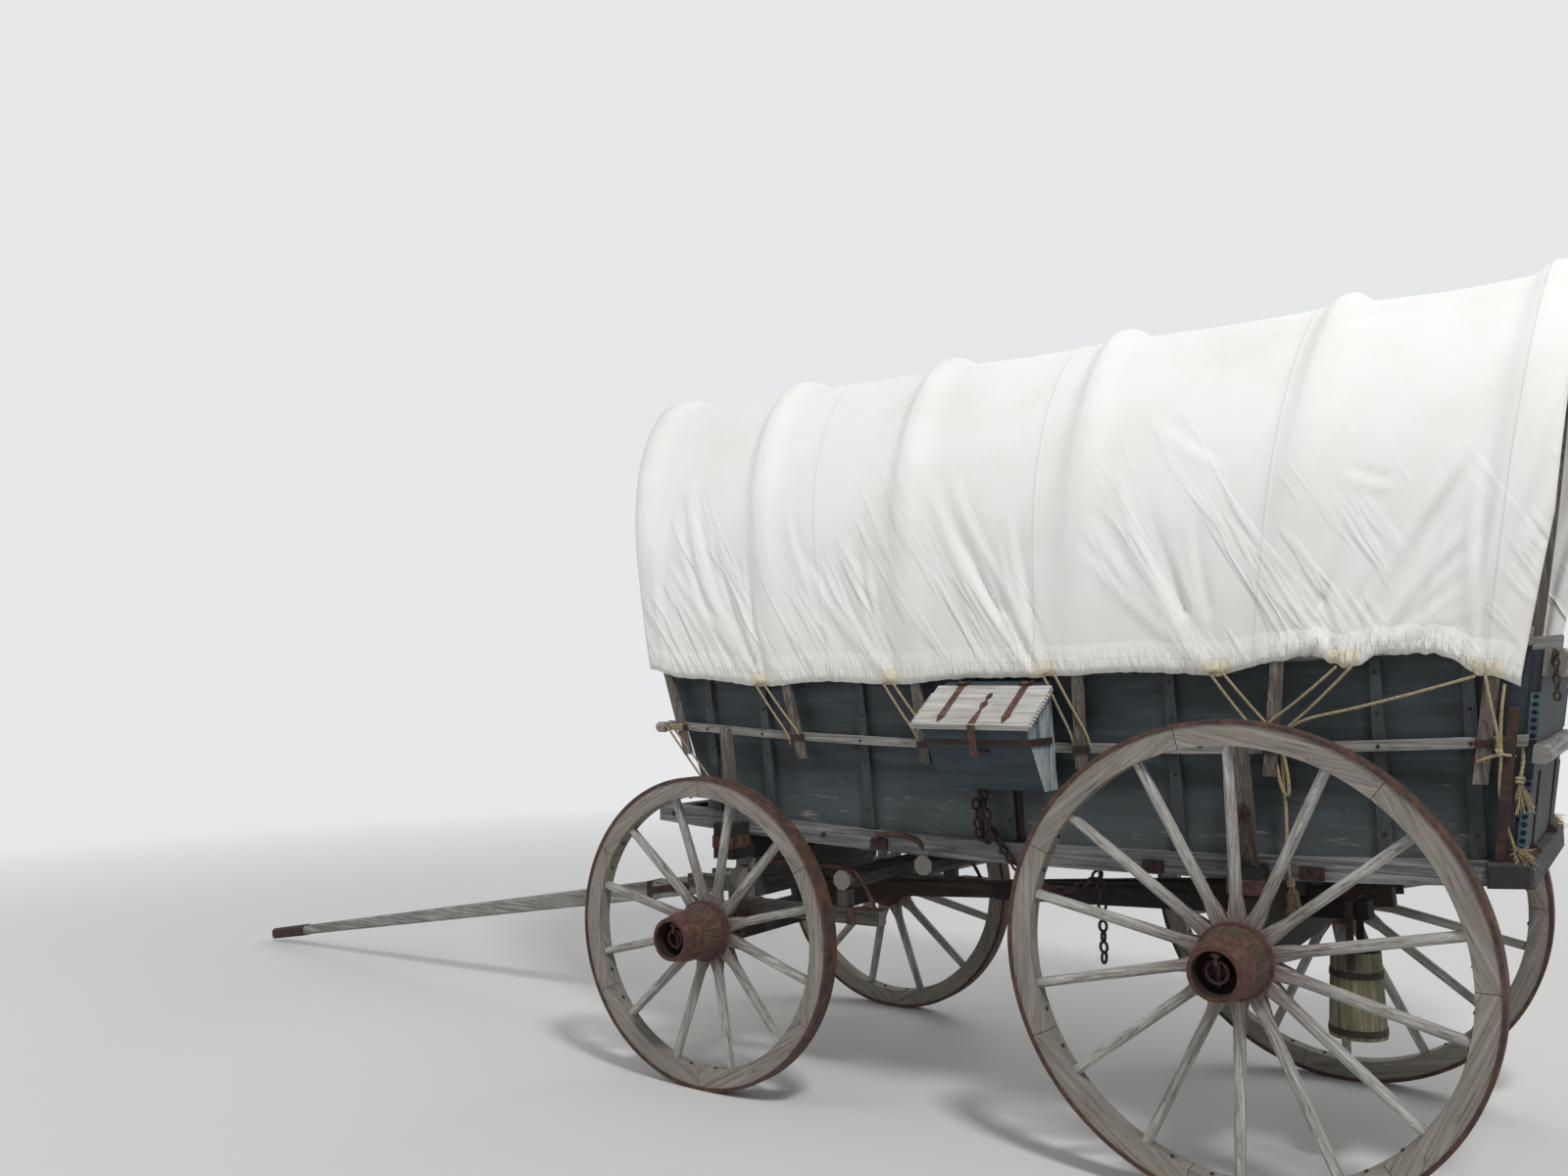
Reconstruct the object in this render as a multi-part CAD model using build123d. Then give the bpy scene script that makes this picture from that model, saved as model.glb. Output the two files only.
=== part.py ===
from build123d import *
import os
from math import asin, atan, atan2, cos, degrees, hypot, pi, radians, sin, sqrt, tan

# A horse-drawn covered freight wagon. Millimetres, +X forward, +Y left, +Z up.
# It is drawn with the rear axle over x = 0 and moved to its own centre at the end.

os.makedirs("parts", exist_ok=True)

# Driving dimensions
wheelbase = 2050.0
rim_face_y = 786.0  # middle of the wagon to the outer face of a rim
front_wheel_radius = 602.0
rear_wheel_radius = 730.0
bed_front_x = 2240.0  # foot of the front gate
bed_rear_x = -728.0  # rear end of the side boards, at their foot
bed_foot_y = 462.0  # outer face of a side board at the sill
bed_foot_z = 1030.0
wall_lean = 7.6  # degrees that the sides lean outwards
front_rake = 15.5  # degrees that the front gate leans outwards
rear_rake = 7.5
wall_height = 640.0  # along the leaning side, to the top of the top rail
bow_crown_z = 2900.0
bow_half_width = 618.0
tongue_tip_x = 5970.0

seat = 0.3  # gap between a piece and what carries it
running_gap = 0.05  # radial clearance of a turning pin

# Wheels: rim and tyre
tire_thickness = 13.0
tire_width = 70.0
felloe_depth = 66.0
felloe_width = 62.0
felloe_joint = 0.6
dish = 50.0  # a rim's middle stands this far outside the spokes' feet
tenon_radius = 13.0
tenon_length = 30.0
spoke_tip = (34.0, 30.0)  # across the wheel, along the axle
spoke_foot = (46.0, 60.0)
spoke_waist = (40.0, 34.0)
foot_tenon = (24.0, 46.0, 36.0)  # across, along the axle, deep
spoke_spare = 14.0  # a blade is drawn this much too long at both ends, then cut to its seats
# Hub outline: distance outward from the spokes' middle, radius
hub_nose_out = 254.0
hub_back_out = -130.0
hub_bore_radius = 42.0
hub_breast_radius = 114.0
hub_spoke_radius = 108.0
hub_mouth_radius = 78.0
hub_mouth_bore = 66.0
hub_mouth_depth = 78.0

# Running gear
axle_width = 95.0
front_axle_low = 545.0
front_axle_high = 640.0
rear_axle_low = 675.0
rear_axle_high = 800.0
hound_height = 55.0
hound_width = 62.0
hound_bend = 130.0  # radius of a front hound's bends
front_gear_gap = 6.0
bolster_half = 618.0
bolster_end_rise = 52.0  # its ends stand this much higher, outside the sills
kingpin_radius = 14.0
reach_width = 70.0
reach_height = 60.0
reach_front_z = 675.0
reach_rear_z = 822.0
reach_rear_x = -330.0
rear_hound_y = 290.0  # at its rear end
sway_bar_x = wheelbase - 470.0
sway_bar_z = 801.0
sway_bar_half = 472.0
sway_bar_radius = 37.0
under_bar_x = 1200.0
under_bar_half = 505.0
under_bar_radius = 36.0

# Tongue
tongue_pin_x = wheelbase + 390.0
tongue_pin_radius = 11.0
tongue_rear_x = wheelbase + 315.0
tongue_rear = (104.0, 82.0)  # width, height
tongue_tip = (52.0, 50.0)
tongue_iron_length = 300.0
draw_pin_at = 330.0  # ahead of the tongue pin, along the tongue
draw_pin_radius = 12.0

# Bed
sill_outer_y = 505.0
sill_width = 60.0
sill_height = 74.0
sill_mid_top_z = 1000.0
sill_front_x = 2480.0
sill_rear_x = -665.0
end_sill_width = 120.0
end_sill_half = 562.0
bed_rise = 60.0  # how much lower the middle of the bed is than its ends
bed_middle_x = 850.0
bed_half = 1630.0
floor_thickness = 22.0
board_thickness = 20.0
board_gap = 1.5
post_width = 44.0
post_depth = 22.0
mid_rail_v = 322.0  # along the wall, above its foot
mid_rail_height = 30.0
mid_rail_depth = 23.0
top_rail_height = 46.0
top_rail_depth = 40.0

# Bows and cover
bow_thickness = 16.0
bow_width = 40.0
bow_foot_z = 1275.0
bow_spring_z = 2050.0
bow_crown_radius = 400.0
bow_ref_z = 1350.0
cover_thickness = 6.0
cover_gap = 2.6
cover_hem_z = 1588.0

# x at the mid rail, x at the crown
bows = [
    (2300.0, 2640.0),
    (1720.0, 1985.0),
    (1160.0, 1250.0),
    (550.0, 510.0),
    (-80.0, -280.0),
    (-670.0, -900.0),
]

staple_iron = 4.0
staple_height = 24.0
corner_bar_x = -698.0  # at its foot
corner_bar_width = 27.0
corner_bar_high_v = 480.0  # along the wall

# Loose ropes
rope_radius = 6.0
side_rope_route = [(-107, 538.5, 1350), (-107, 528, 1271), (-112, 524, 1150), (-108, 527, 1035), (-117, 522, 945)]
corner_rope_route = [(-770, 543.6, 1388.2), (-770, 539.6, 1358.5), (-766, 538.5, 1324), (-759, 540, 1293)]

# Toolbox on the left side
box_front_x = 1042.0
box_rear_x = 648.0
box_wall = 18.0
box_low_z = 1200.0
box_back_high_z = 1560.0
box_front_high_z = 1425.0
box_front_high_y = 795.0
box_front_low_y = 642.0
lid_thickness = 20.0
lid_overhang = 22.0
lid_strip = 30.0  # width of the fixed strip behind the lid
lid_gap = 1.0

# Tar bucket
bucket_x = -250.0
bucket_y = 272.0
bucket_low_z = 440.0
bucket_height = 270.0
bucket_low_radius = 88.0
bucket_high_radius = 76.0
bucket_wall = 12.0


def block(low, high):
    """A block between two corners."""
    size = [b - a for a, b in zip(low, high)]
    middle = [(a + b) / 2 for a, b in zip(low, high)]
    return Pos(*middle) * Box(*size)


def polygon(points):
    """A face with straight sides in the XY plane."""
    return make_face(Polyline(*points, close=True))


def on_xz(face, y_low, y_high):
    """A face drawn as (x, z), given a thickness from y_low to y_high."""
    return Pos(0, y_low, 0) * Rot(90, 0, 0) * extrude(face, -(y_high - y_low))


def both_sides(shape):
    """The left piece and its mirror image on the right."""
    return [shape, mirror(shape, about=Plane.XZ)]


def octagon_bar(radius, low_y, high_y):
    """A shaved bar along Y, about the origin."""
    profile = RegularPolygon(radius, 8, major_radius=False, rotation=22.5)
    return Pos(0, low_y, 0) * Rot(-90, 0, 0) * extrude(profile, high_y - low_y)


bed_radius = (bed_half ** 2 + bed_rise ** 2) / (2 * bed_rise)


def rise(x):
    """How far the bed's curve stands above its middle."""
    return bed_radius - sqrt(bed_radius ** 2 - (x - bed_middle_x) ** 2)


def curved_band(x_low, x_high, low, high, rakes=(0.0, 0.0)):
    """A curved strip seen from the side, from height low to high at the bed's middle.

    Its rear and front ends lean outwards by the rakes, in degrees.
    """
    def rear(height):
        x = x_low - height * tan(radians(rakes[0]))
        return (x, height + rise(x))

    def front(height):
        x = x_high + height * tan(radians(rakes[1]))
        return (x, height + rise(x))

    middle = (x_low + x_high) / 2
    return make_face(
        [
            ThreePointArc(rear(low), (middle, low + rise(middle)), front(low)),
            Line(front(low), front(high)),
            ThreePointArc(front(high), (middle, high + rise(middle)), rear(high)),
            Line(rear(high), rear(low)),
        ]
    )


parts = {}


def keep(name, shapes):
    """Adds solids to the node called name."""
    if not isinstance(shapes, (list, tuple)):
        shapes = [shapes]
    solids = []
    for shape in shapes:
        solids += list(shape.solids())
    parts.setdefault(name, []).extend(solids)


# Wheels, each drawn about +Z with z = 0 in the middle of the rim


def spoke_line(radius):
    """Where a spoke starts and ends, and its slope out of the wheel's plane."""
    rim_inner = radius - tire_thickness - seat - felloe_depth
    foot = (hub_spoke_radius, -dish)
    tip = (rim_inner, 0.0)
    return foot, tip


def octagon_points(across, along, corner):
    x, y = across / 2, along / 2
    c = corner
    return [
        (x, -y + c), (x, y - c), (x - c, y), (-x + c, y),
        (-x, y - c), (-x, -y + c), (-x + c, -y), (x - c, -y),
    ]


def spoke(radius):
    """One spoke: a tenon in the hub, a shaved blade, an octagonal tenon in the felloe."""
    foot, tip = spoke_line(radius)
    length = hypot(tip[0] - foot[0], tip[1] - foot[1])
    # length along the spoke, (across, along the axle), corner
    sections = [
        (-spoke_spare, spoke_foot, 3.0),
        (length * 0.16, spoke_waist, 10.0),
        (length + spoke_spare, spoke_tip, 9.0),
    ]
    faces = [Pos(0, 0, at) * polygon(octagon_points(*size, corner)) for at, size, corner in sections]
    slope = degrees(atan2(tip[1] - foot[1], tip[0] - foot[0]))
    place = Pos(foot[0], 0, foot[1]) * Rot(0, 90 - slope, 0)
    blade = place * loft(faces, ruled=True)
    blade = blade & Cylinder(tip[0] - seat, 300.0)
    blade = blade - Cylinder(hub_spoke_radius + seat, 300.0)
    inner = Pos(0, 0, spoke_spare / 2 - foot_tenon[2] / 2) * Box(
        foot_tenon[0], foot_tenon[1], foot_tenon[2] + spoke_spare
    )
    outer = Pos(0, 0, length - spoke_spare) * extrude(RegularPolygon(tenon_radius, 8), tenon_length + spoke_spare)
    return blade + place * inner + place * outer


def hub_profile(nose):
    """Half the hub's section, as (radius, distance along the axle)."""
    out = nose - dish
    mouth = nose - hub_mouth_depth
    band = [
        (hub_bore_radius, hub_back_out - dish),
        (78.0, hub_back_out - dish),
        (84.0, -dish - 44.0),
        (hub_breast_radius, -dish - 44.0),
        (hub_breast_radius, -dish - 34.0),
        (hub_spoke_radius, -dish - 34.0),
        (hub_spoke_radius, -dish + 34.0),
        (hub_breast_radius, -dish + 34.0),
        (hub_breast_radius, -dish + 58.0),
        (hub_breast_radius - 7.0, -dish + 60.0),
        (hub_mouth_radius + 14.0, nose - 92.0),
        (hub_mouth_radius + 16.0, nose - 92.0),
        (hub_mouth_radius, nose),
        (hub_mouth_bore, nose),
        (hub_mouth_bore, mouth),
        (hub_bore_radius, mouth),
    ]
    return band


def wheel(name, x, radius, spokes, felloes):
    """Hub, spokes, felloes and tyre of one pair of wheels."""
    step = 360.0 / spokes
    middle_y = rim_face_y - tire_width / 2
    place = Pos(x, middle_y, radius) * Rot(-90, 0, 0)
    foot, tip = spoke_line(radius)
    slope = degrees(atan2(tip[1] - foot[1], tip[0] - foot[0]))
    nose = hub_nose_out - dish

    one = spoke(radius)
    all_spokes = [Rot(0, 0, (i + 0.5) * step) * one for i in range(spokes)]

    profile = make_face(Polyline(*[(r, 0, z) for r, z in hub_profile(nose)], close=True))
    hub = revolve(profile, Axis.Z)
    pocket = Pos(foot[0], 0, foot[1]) * Rot(0, 90 - slope, 0) * Pos(0, 0, -foot_tenon[2] / 2 + 4) * Box(
        foot_tenon[0] + 2 * seat, foot_tenon[1] + 2 * seat, foot_tenon[2] + 8 + 2 * seat
    )
    for i in range(spokes):
        hub -= Rot(0, 0, (i + 0.5) * step) * pocket

    outer = radius - tire_thickness - seat
    inner = outer - felloe_depth
    half = radians(180.0 / felloes)
    trim = felloe_joint / 2

    def corner(r, sign):
        angle = half - asin(trim / r)
        return (r * cos(angle), sign * r * sin(angle))

    edges = [
        ThreePointArc(corner(outer, -1), (outer, 0), corner(outer, 1)),
        Line(corner(outer, 1), corner(inner, 1)),
        ThreePointArc(corner(inner, 1), (inner, 0), corner(inner, -1)),
        Line(corner(inner, -1), corner(outer, -1)),
    ]
    felloe = Pos(0, 0, -felloe_width / 2) * extrude(make_face(edges), felloe_width)
    hole = extrude(RegularPolygon(tenon_radius + 2 * seat, 8), tenon_length + 6)
    hole = Pos(tip[0], 0, tip[1]) * Rot(0, 90 - slope, 0) * Pos(0, 0, -3) * hole
    for side in (-0.5, 0.5):
        felloe -= Rot(0, 0, side * step) * hole
    all_felloes = [Rot(0, 0, 360.0 * i / felloes) * felloe for i in range(felloes)]

    tire = Cylinder(radius, tire_width) - Cylinder(radius - tire_thickness, tire_width)

    for part, shapes in (("hub", [hub]), ("spokes", all_spokes), ("felloes", all_felloes), ("tire", [tire])):
        left = [place * shape for shape in shapes]
        keep(f"{name}_left_{part}", left)
        keep(f"{name}_right_{part}", [mirror(shape, about=Plane.XZ) for shape in left])


wheel("front", wheelbase, front_wheel_radius, 12, 6)
wheel("rear", 0.0, rear_wheel_radius, 14, 7)

# Axles: a wooden beam with an iron arm in each hub

spoke_plane_y = rim_face_y - tire_width / 2 - dish
hub_back_y = spoke_plane_y + hub_back_out
hub_mouth_y = spoke_plane_y + hub_nose_out - hub_mouth_depth
axle_half = hub_back_y - 6.0
arm_radius = hub_bore_radius - running_gap
collar_radius = 60.0
arm_end_radius = 36.0


def axle_arm(x, z):
    """An iron arm: a square socket on the beam, a round journal, a collar and a pin."""
    collar = Cylinder(collar_radius, 14.0, align=(Align.CENTER, Align.CENTER, Align.MAX))
    arm = Cylinder(arm_radius, hub_mouth_y + 1.0 - axle_half, align=(Align.CENTER, Align.CENTER, Align.MIN))
    end = Pos(0, 0, hub_mouth_y + 1.0 - axle_half) * Cylinder(
        arm_end_radius, 46.0, align=(Align.CENTER, Align.CENTER, Align.MIN)
    )
    bore = Pos(0, 0, hub_mouth_y + 47.0 - axle_half) * Cylinder(
        arm_end_radius - 8.0, 30.0, align=(Align.CENTER, Align.CENTER, Align.MAX)
    )
    pin = Pos(0, 0, hub_mouth_y + 24.0 - axle_half) * Box(12.0, 96.0, 12.0)
    arm = collar + arm + end - bore + pin
    return Pos(x, axle_half, z) * Rot(-90, 0, 0) * arm


for name, x, z, low, high in (
    ("front", wheelbase, front_wheel_radius, front_axle_low, front_axle_high),
    ("rear", 0.0, rear_wheel_radius, rear_axle_low, rear_axle_high),
):
    inner = axle_half - 14.0 - seat
    beam = block((x - axle_width / 2, -inner, low), (x + axle_width / 2, inner, high))
    if name == "front":
        beam -= Pos(x, 0, (low + high) / 2) * Cylinder(kingpin_radius + running_gap, high - low + 2)
    keep(f"{name}_axle", beam)
    keep(f"{name}_axle_arms", both_sides(axle_arm(x, z)))

# Front gear: hounds under the sand board, the sway bar on its risers, and the kingpin

hound_low = front_axle_high + seat
hound_high = hound_low + hound_height
hound_path = FilletPolyline(
    (wheelbase - 640, 450), (wheelbase + 30, 494), (wheelbase + 340, 91), (wheelbase + 590, 91), radius=hound_bend
)
tongue_pin_z = (hound_low + hound_high) / 2
pin_bore = Pos(tongue_pin_x, 0, tongue_pin_z) * Rot(90, 0, 0) * Cylinder(tongue_pin_radius + running_gap, 400)
section = Plane(origin=hound_path @ 0, x_dir=(0, 0, 1), z_dir=hound_path % 0) * Rectangle(hound_height, hound_width)
hound = Pos(0, 0, tongue_pin_z) * sweep(section, hound_path) - pin_bore
keep("front_hounds", both_sides(hound))
sand_low = hound_high + seat
reach_top_front = reach_front_z + reach_height / 2
bolster_low = 865.0
sand_high = bolster_low - front_gear_gap
sand_board = block((wheelbase - 48, -470, sand_low), (wheelbase + 48, 470, sand_high))
sand_board += Pos(wheelbase, 0, 776) * octagon_bar(47, -506, 506)
slot = block((wheelbase - 60, -90, sand_low - 1), (wheelbase + 60, 90, reach_top_front + 8))
sand_board -= slot
sand_board -= Pos(wheelbase, 0, sand_high) * Cylinder(kingpin_radius + running_gap, 500)
keep("sand_board", sand_board)

riser_y = 444.0
riser_x = sway_bar_x
riser_low = hound_high + seat
sway_low = sway_bar_z - sway_bar_radius
bar = octagon_bar(sway_bar_radius, -sway_bar_half, sway_bar_half)
keep("sway_bar", Pos(sway_bar_x, 0, sway_bar_z) * bar)
riser = block((riser_x - 26, riser_y - 24, riser_low), (riser_x + 26, riser_y + 24, sway_low - seat))
keep("sway_bar_risers", both_sides(riser))

sill_low_mid = sill_mid_top_z - sill_height


def bolster_high(x):
    """Top of a bolster under the curved sills."""
    return sill_low_mid + rise(x - 50 if x > bed_middle_x else x + 50) - seat


kingpin_low = front_axle_low - 30.0
kingpin_head = bolster_high(wheelbase) + seat
kingpin = Pos(wheelbase, 0, kingpin_low) * Cylinder(
    kingpin_radius, kingpin_head + 1.0 - kingpin_low, align=(Align.CENTER, Align.CENTER, Align.MIN)
)
kingpin += Pos(wheelbase, 0, kingpin_head) * Cylinder(30, 14, align=(Align.CENTER, Align.CENTER, Align.MIN))
keep("kingpin", kingpin)

# Tongue, pinned between the hounds, its tip on the ground

tongue_tip_low = 22.0
tongue_slope = atan2(tongue_pin_z - (tongue_tip_low + tongue_tip[1] / 2), tongue_tip_x - tongue_pin_x)
tongue_reach = hypot(tongue_pin_z - (tongue_tip_low + tongue_tip[1] / 2), tongue_tip_x - tongue_pin_x)
tongue_place = Pos(tongue_pin_x, 0, tongue_pin_z) * Rot(0, degrees(tongue_slope), 0)
tongue_back = tongue_pin_x - tongue_rear_x


def tongue_section(at, width, height, corner):
    face = polygon(octagon_points(width, height, corner))
    return Pos(at, 0, 0) * Rot(0, 90, 0) * Rot(0, 0, 90) * face


taper_start = 560.0
pole = loft(
    [
        tongue_section(taper_start, *tongue_rear, 8.0),
        tongue_section(tongue_reach, *tongue_tip, 12.0),
    ],
    ruled=True,
)
butt = extrude(tongue_section(-tongue_back, *tongue_rear, 8.0), taper_start + tongue_back, dir=(1, 0, 0))
pole = pole + butt
pole -= Rot(90, 0, 0) * Cylinder(tongue_pin_radius + running_gap, 300)
pole -= Pos(draw_pin_at, 0, 0) * Cylinder(draw_pin_radius, 200)
keep("tongue", tongue_place * pole)
pin_half = 132.0
pin = Pos(tongue_pin_x, 0, tongue_pin_z) * Rot(90, 0, 0) * Cylinder(tongue_pin_radius, 2 * pin_half)
keep("tongue_pin", pin)

iron_start = tongue_reach - tongue_iron_length


def tongue_size(at):
    """The pole's width and height at a distance from its pin."""
    share = (at - taper_start) / (tongue_reach - taper_start)
    return [a + (b - a) * share for a, b in zip(tongue_rear, tongue_tip)]


def tongue_sleeve(start, end, wall, corner):
    """An iron sleeve round the tapered pole."""
    sizes = [tongue_size(start), tongue_size(end)]
    outer = loft(
        [tongue_section(at, w + 2 * wall, h + 2 * wall, corner) for at, (w, h) in zip((start, end), sizes)],
        ruled=True,
    )
    inner = loft(
        [tongue_section(at, w + 2 * seat, h + 2 * seat, corner - 1) for at, (w, h) in zip((start, end), sizes)],
        ruled=True,
    )
    return outer - inner


cap = tongue_sleeve(iron_start, tongue_reach + seat, 5.0, 13.0)
cap_end_size = [size + 10.0 for size in tongue_tip]
cap += extrude(tongue_section(tongue_reach + seat, *cap_end_size, 13.0), 8.0, dir=(1, 0, 0))
keep("tongue_cap", tongue_place * cap)

# Reach from the kingpin back over the rear axle, with a hound on each side

reach_angle = degrees(atan2(reach_rear_z - reach_front_z, wheelbase))
reach_place = Pos(wheelbase, 0, reach_front_z) * Rot(0, reach_angle, 0)
reach_end = -(wheelbase - reach_rear_x)


def reach_bar(grow):
    """The reach, or what it takes out of the beams that it passes."""
    half_y, half_z = reach_width / 2 + grow, reach_height / 2 + grow
    return reach_place * block((reach_end, -half_y, -half_z), (60, half_y, half_z))


def rear_hound(grow):
    """The left rear hound, running in to the reach at its front end."""
    front, rear = (-1050.0, 62.0), (reach_end + 20, rear_hound_y)
    length = hypot(front[0] - rear[0], rear[1] - front[1])
    turn = degrees(atan2(front[1] - rear[1], front[0] - rear[0]))
    half_y, half_z = 25.0 + grow, reach_height / 2 + grow
    bar = Pos(*rear, 0) * Rot(0, 0, turn) * block((0, -half_y, -half_z), (length + 120, half_y, half_z))
    side = block((reach_end, reach_width / 2 + seat - grow, -100), (0, 500, 100))
    return reach_place * (bar & side)


passing = [reach_bar(seat)] + both_sides(rear_hound(seat))
reach = reach_bar(0) - Pos(wheelbase, 0, reach_front_z) * Cylinder(kingpin_radius + 2.0, 200)
keep("reach", reach)
keep("rear_hounds", both_sides(rear_hound(0)))
rear_beam = parts["rear_axle"][0]
for cut in passing:
    rear_beam -= cut
parts["rear_axle"] = list(rear_beam.solids())

# Bolsters with their stakes

stake_size = (44.0, 44.0)  # along the wagon, across it
stake_top = (34.0, 32.0)
stake_high_z = 1380.0
stake_foot_y = 542.0


def wall_y(z):
    """Outer face of a side board at height z."""
    return bed_foot_y + (z - bed_foot_z) * tan(radians(wall_lean))


# name, x, underside
for name, x, low in (("front", wheelbase, bolster_low), ("rear", 0.0, rear_axle_high + seat)):
    high = bolster_high(x)
    beam = block((x - 50, -bolster_half, low), (x + 50, bolster_half, high))
    for end in both_sides(block((x - 50, sill_outer_y + 4, high - 10), (x + 50, bolster_half, high + bolster_end_rise))):
        beam += end
    if name == "front":
        beam -= Pos(x, 0, (low + high) / 2) * Cylinder(kingpin_radius + running_gap, high - low + 2)
    else:
        hub_room = block((x - 60, hub_back_y - 14, low - 1), (x + 60, bolster_half + 1, low + 50))
        for cut in passing + both_sides(hub_room):
            beam -= cut
    lean = Pos(x, stake_foot_y, high) * Rot(-wall_lean, 0, 0)
    stake_length = (stake_high_z - high + 30) / cos(radians(wall_lean))
    square = lean * Pos(0, 0, 100) * Box(*stake_size, 260)
    ends = [Pos(0, 0, 230) * Rectangle(*stake_size), Pos(0, 0, stake_length - 30) * Rectangle(*stake_top)]
    crown = Pos(0, 0, stake_length - 30) * Rot(90, 0, 0) * Cylinder(stake_top[0] / 2, stake_top[1])
    stake = square + lean * loft(ends, ruled=True) + lean * crown
    socket = lean * Pos(0, 0, 70) * Box(stake_size[0] + 2 * seat, stake_size[1] + 2 * seat, 200 + 2 * seat)
    for cut in both_sides(socket):
        beam -= cut
    keep(f"{name}_bolster", beam)
    keep("bolster_stakes", both_sides(stake))

# Sills, cross sills and floor

sill = on_xz(
    curved_band(sill_rear_x, sill_front_x, sill_low_mid, sill_mid_top_z), sill_outer_y - sill_width, sill_outer_y
)
keep("sills", both_sides(sill))

cross_sill_x = [2400.0, 1640.0, 880.0, 330.0, -600.0]
cross_size = (70.0, 52.0)
sill_inner_y = sill_outer_y - sill_width

for x in cross_sill_x:
    near = x - cross_size[0] / 2 if x > bed_middle_x else x + cross_size[0] / 2
    top = sill_mid_top_z + (0.0 if abs(x - bed_middle_x) < cross_size[0] else rise(near))
    beam = block(
        (x - cross_size[0] / 2, -sill_inner_y + seat, top - cross_size[1]),
        (x + cross_size[0] / 2, sill_inner_y - seat, top),
    )
    keep("cross_sills", beam)

end_sill_rear_x = sill_rear_x - seat - end_sill_width
end_sill_face = curved_band(end_sill_rear_x, sill_rear_x - seat, sill_low_mid, sill_mid_top_z)
end_sill = on_xz(end_sill_face, -end_sill_half, end_sill_half)
end_sill = chamfer(end_sill.faces().filter_by(Axis.Y).edges(), 9.0)
keep("rear_end_sill", end_sill)

under_bar_z = sill_low_mid + rise(under_bar_x - under_bar_radius) - seat - under_bar_radius
keep("under_bar", Pos(under_bar_x, 0, under_bar_z) * octagon_bar(under_bar_radius, -under_bar_half, under_bar_half))

floor_boards = 6
floor_low_z = sill_mid_top_z + seat
floor_half_y = sill_inner_y - 8.0
floor_step = 2 * floor_half_y / floor_boards
for i in range(floor_boards):
    low_y = -floor_half_y + i * floor_step + board_gap / 2
    high_y = low_y + floor_step - board_gap
    face = curved_band(bed_rear_x, bed_front_x + 30, floor_low_z, floor_low_z + floor_thickness)
    keep("floor", on_xz(face, low_y, high_y))

# Sides, drawn upright with t = 0 at the boards' outer face, then leaned outwards

lean_place = Pos(0, bed_foot_y, bed_foot_z) * Rot(-wall_lean, 0, 0)


def on_wall(face, t_low, t_high):
    """A face drawn as (x, height above the foot), given a thickness, on the left side."""
    return lean_place * on_xz(face, t_low, t_high)


bed_rakes = (rear_rake, front_rake)
board_heights = [(-29.6, mid_rail_v - 4.0), (mid_rail_v - 4.0 + board_gap, wall_height - top_rail_height - seat)]
for side, flip in (("left", False), ("right", True)):
    for low, high in board_heights:
        board = on_wall(curved_band(bed_rear_x, bed_front_x, low, high, bed_rakes), -board_thickness, 0)
        keep(f"{side}_side_boards", mirror(board, about=Plane.XZ) if flip else board)

post_x = [-640.0, -390.0, 240.0, 850.0, 1440.0, 1900.0, 2180.0]
for x in post_x:
    low = -24.0 + rise(x)
    high = wall_height - top_rail_height - 2.0 + rise(x) - 3.0
    width = post_width / 2
    face = polygon([(x - width, low), (x + width, low), (x + width * 0.7, high), (x - width * 0.7, high)])
    keep("side_posts", both_sides(on_wall(face, seat, post_depth)))

mid_rail = on_wall(
    curved_band(
        bed_rear_x - 15, bed_front_x + 60, mid_rail_v - mid_rail_height / 2, mid_rail_v + mid_rail_height / 2,
        bed_rakes,
    ),
    post_depth + seat, post_depth + mid_rail_depth,
)
top_rail = on_wall(
    curved_band(bed_rear_x, bed_front_x, wall_height - top_rail_height, wall_height, bed_rakes),
    top_rail_depth - 56.0, top_rail_depth,
)
keep("side_rails", both_sides(mid_rail) + both_sides(top_rail))

# Gates, leaning outwards. The front one stands between the sides. The rear one closes over their ends,
# on the end sill, and is hinged at its foot.

gate_thickness = 22.0
gate_gap = 7.0
gate_slats = 6
gate_height = 600.0
front_gate_bars = [(0.5, 34.0, 48.0, -9.0), (0.94, 34.0, 48.0, -9.0)]
rear_gate_bars = [(0.51, 46.0, 50.0, 84.0), (0.95, 58.0, 84.0, 12.0)]
gate_pin_out = 12.0
gate_pin_up = 12.0
gate_pin_radius = 6.0
gate_hinge_y = 300.0


def gate(x_foot, z_foot, sign, rake, side_gap, bar_table):
    """Slats and bars of one gate. Local x runs across the wagon, z up the gate, y out of it."""
    place = Pos(x_foot, 0, z_foot) * Rot(0, sign * rake, 0) * Rot(0, 0, -90 * sign)
    half_low = wall_y(z_foot) - side_gap
    half_high = wall_y(z_foot + gate_height * cos(radians(rake))) - side_gap

    def half(share):
        return half_low + (half_high - half_low) * share

    slats = []
    for i in range(gate_slats):
        low_a, low_b = [(2 * (i + k) / gate_slats - 1) * half(0) for k in (0, 1)]
        high_a, high_b = [(2 * (i + k) / gate_slats - 1) * half(1) for k in (0, 1)]
        trim = board_gap / 2
        corners = [(low_a + trim, 0), (low_b - trim, 0), (high_b - trim, gate_height), (high_a + trim, gate_height)]
        slats.append(place * on_xz(polygon(corners), -gate_thickness, 0))
    bars = []
    for share, depth, height, beyond in bar_table:
        reach_y, middle = half(share) + beyond, gate_height * share
        bar = block((-reach_y, seat, middle - height / 2), (reach_y, depth, middle + height / 2))
        outer = bar.faces().sort_by(Axis.Y)[-1]
        bars.append(place * chamfer(outer.edges().filter_by(Axis.X), depth * 0.25))
    return place, slats, bars


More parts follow.
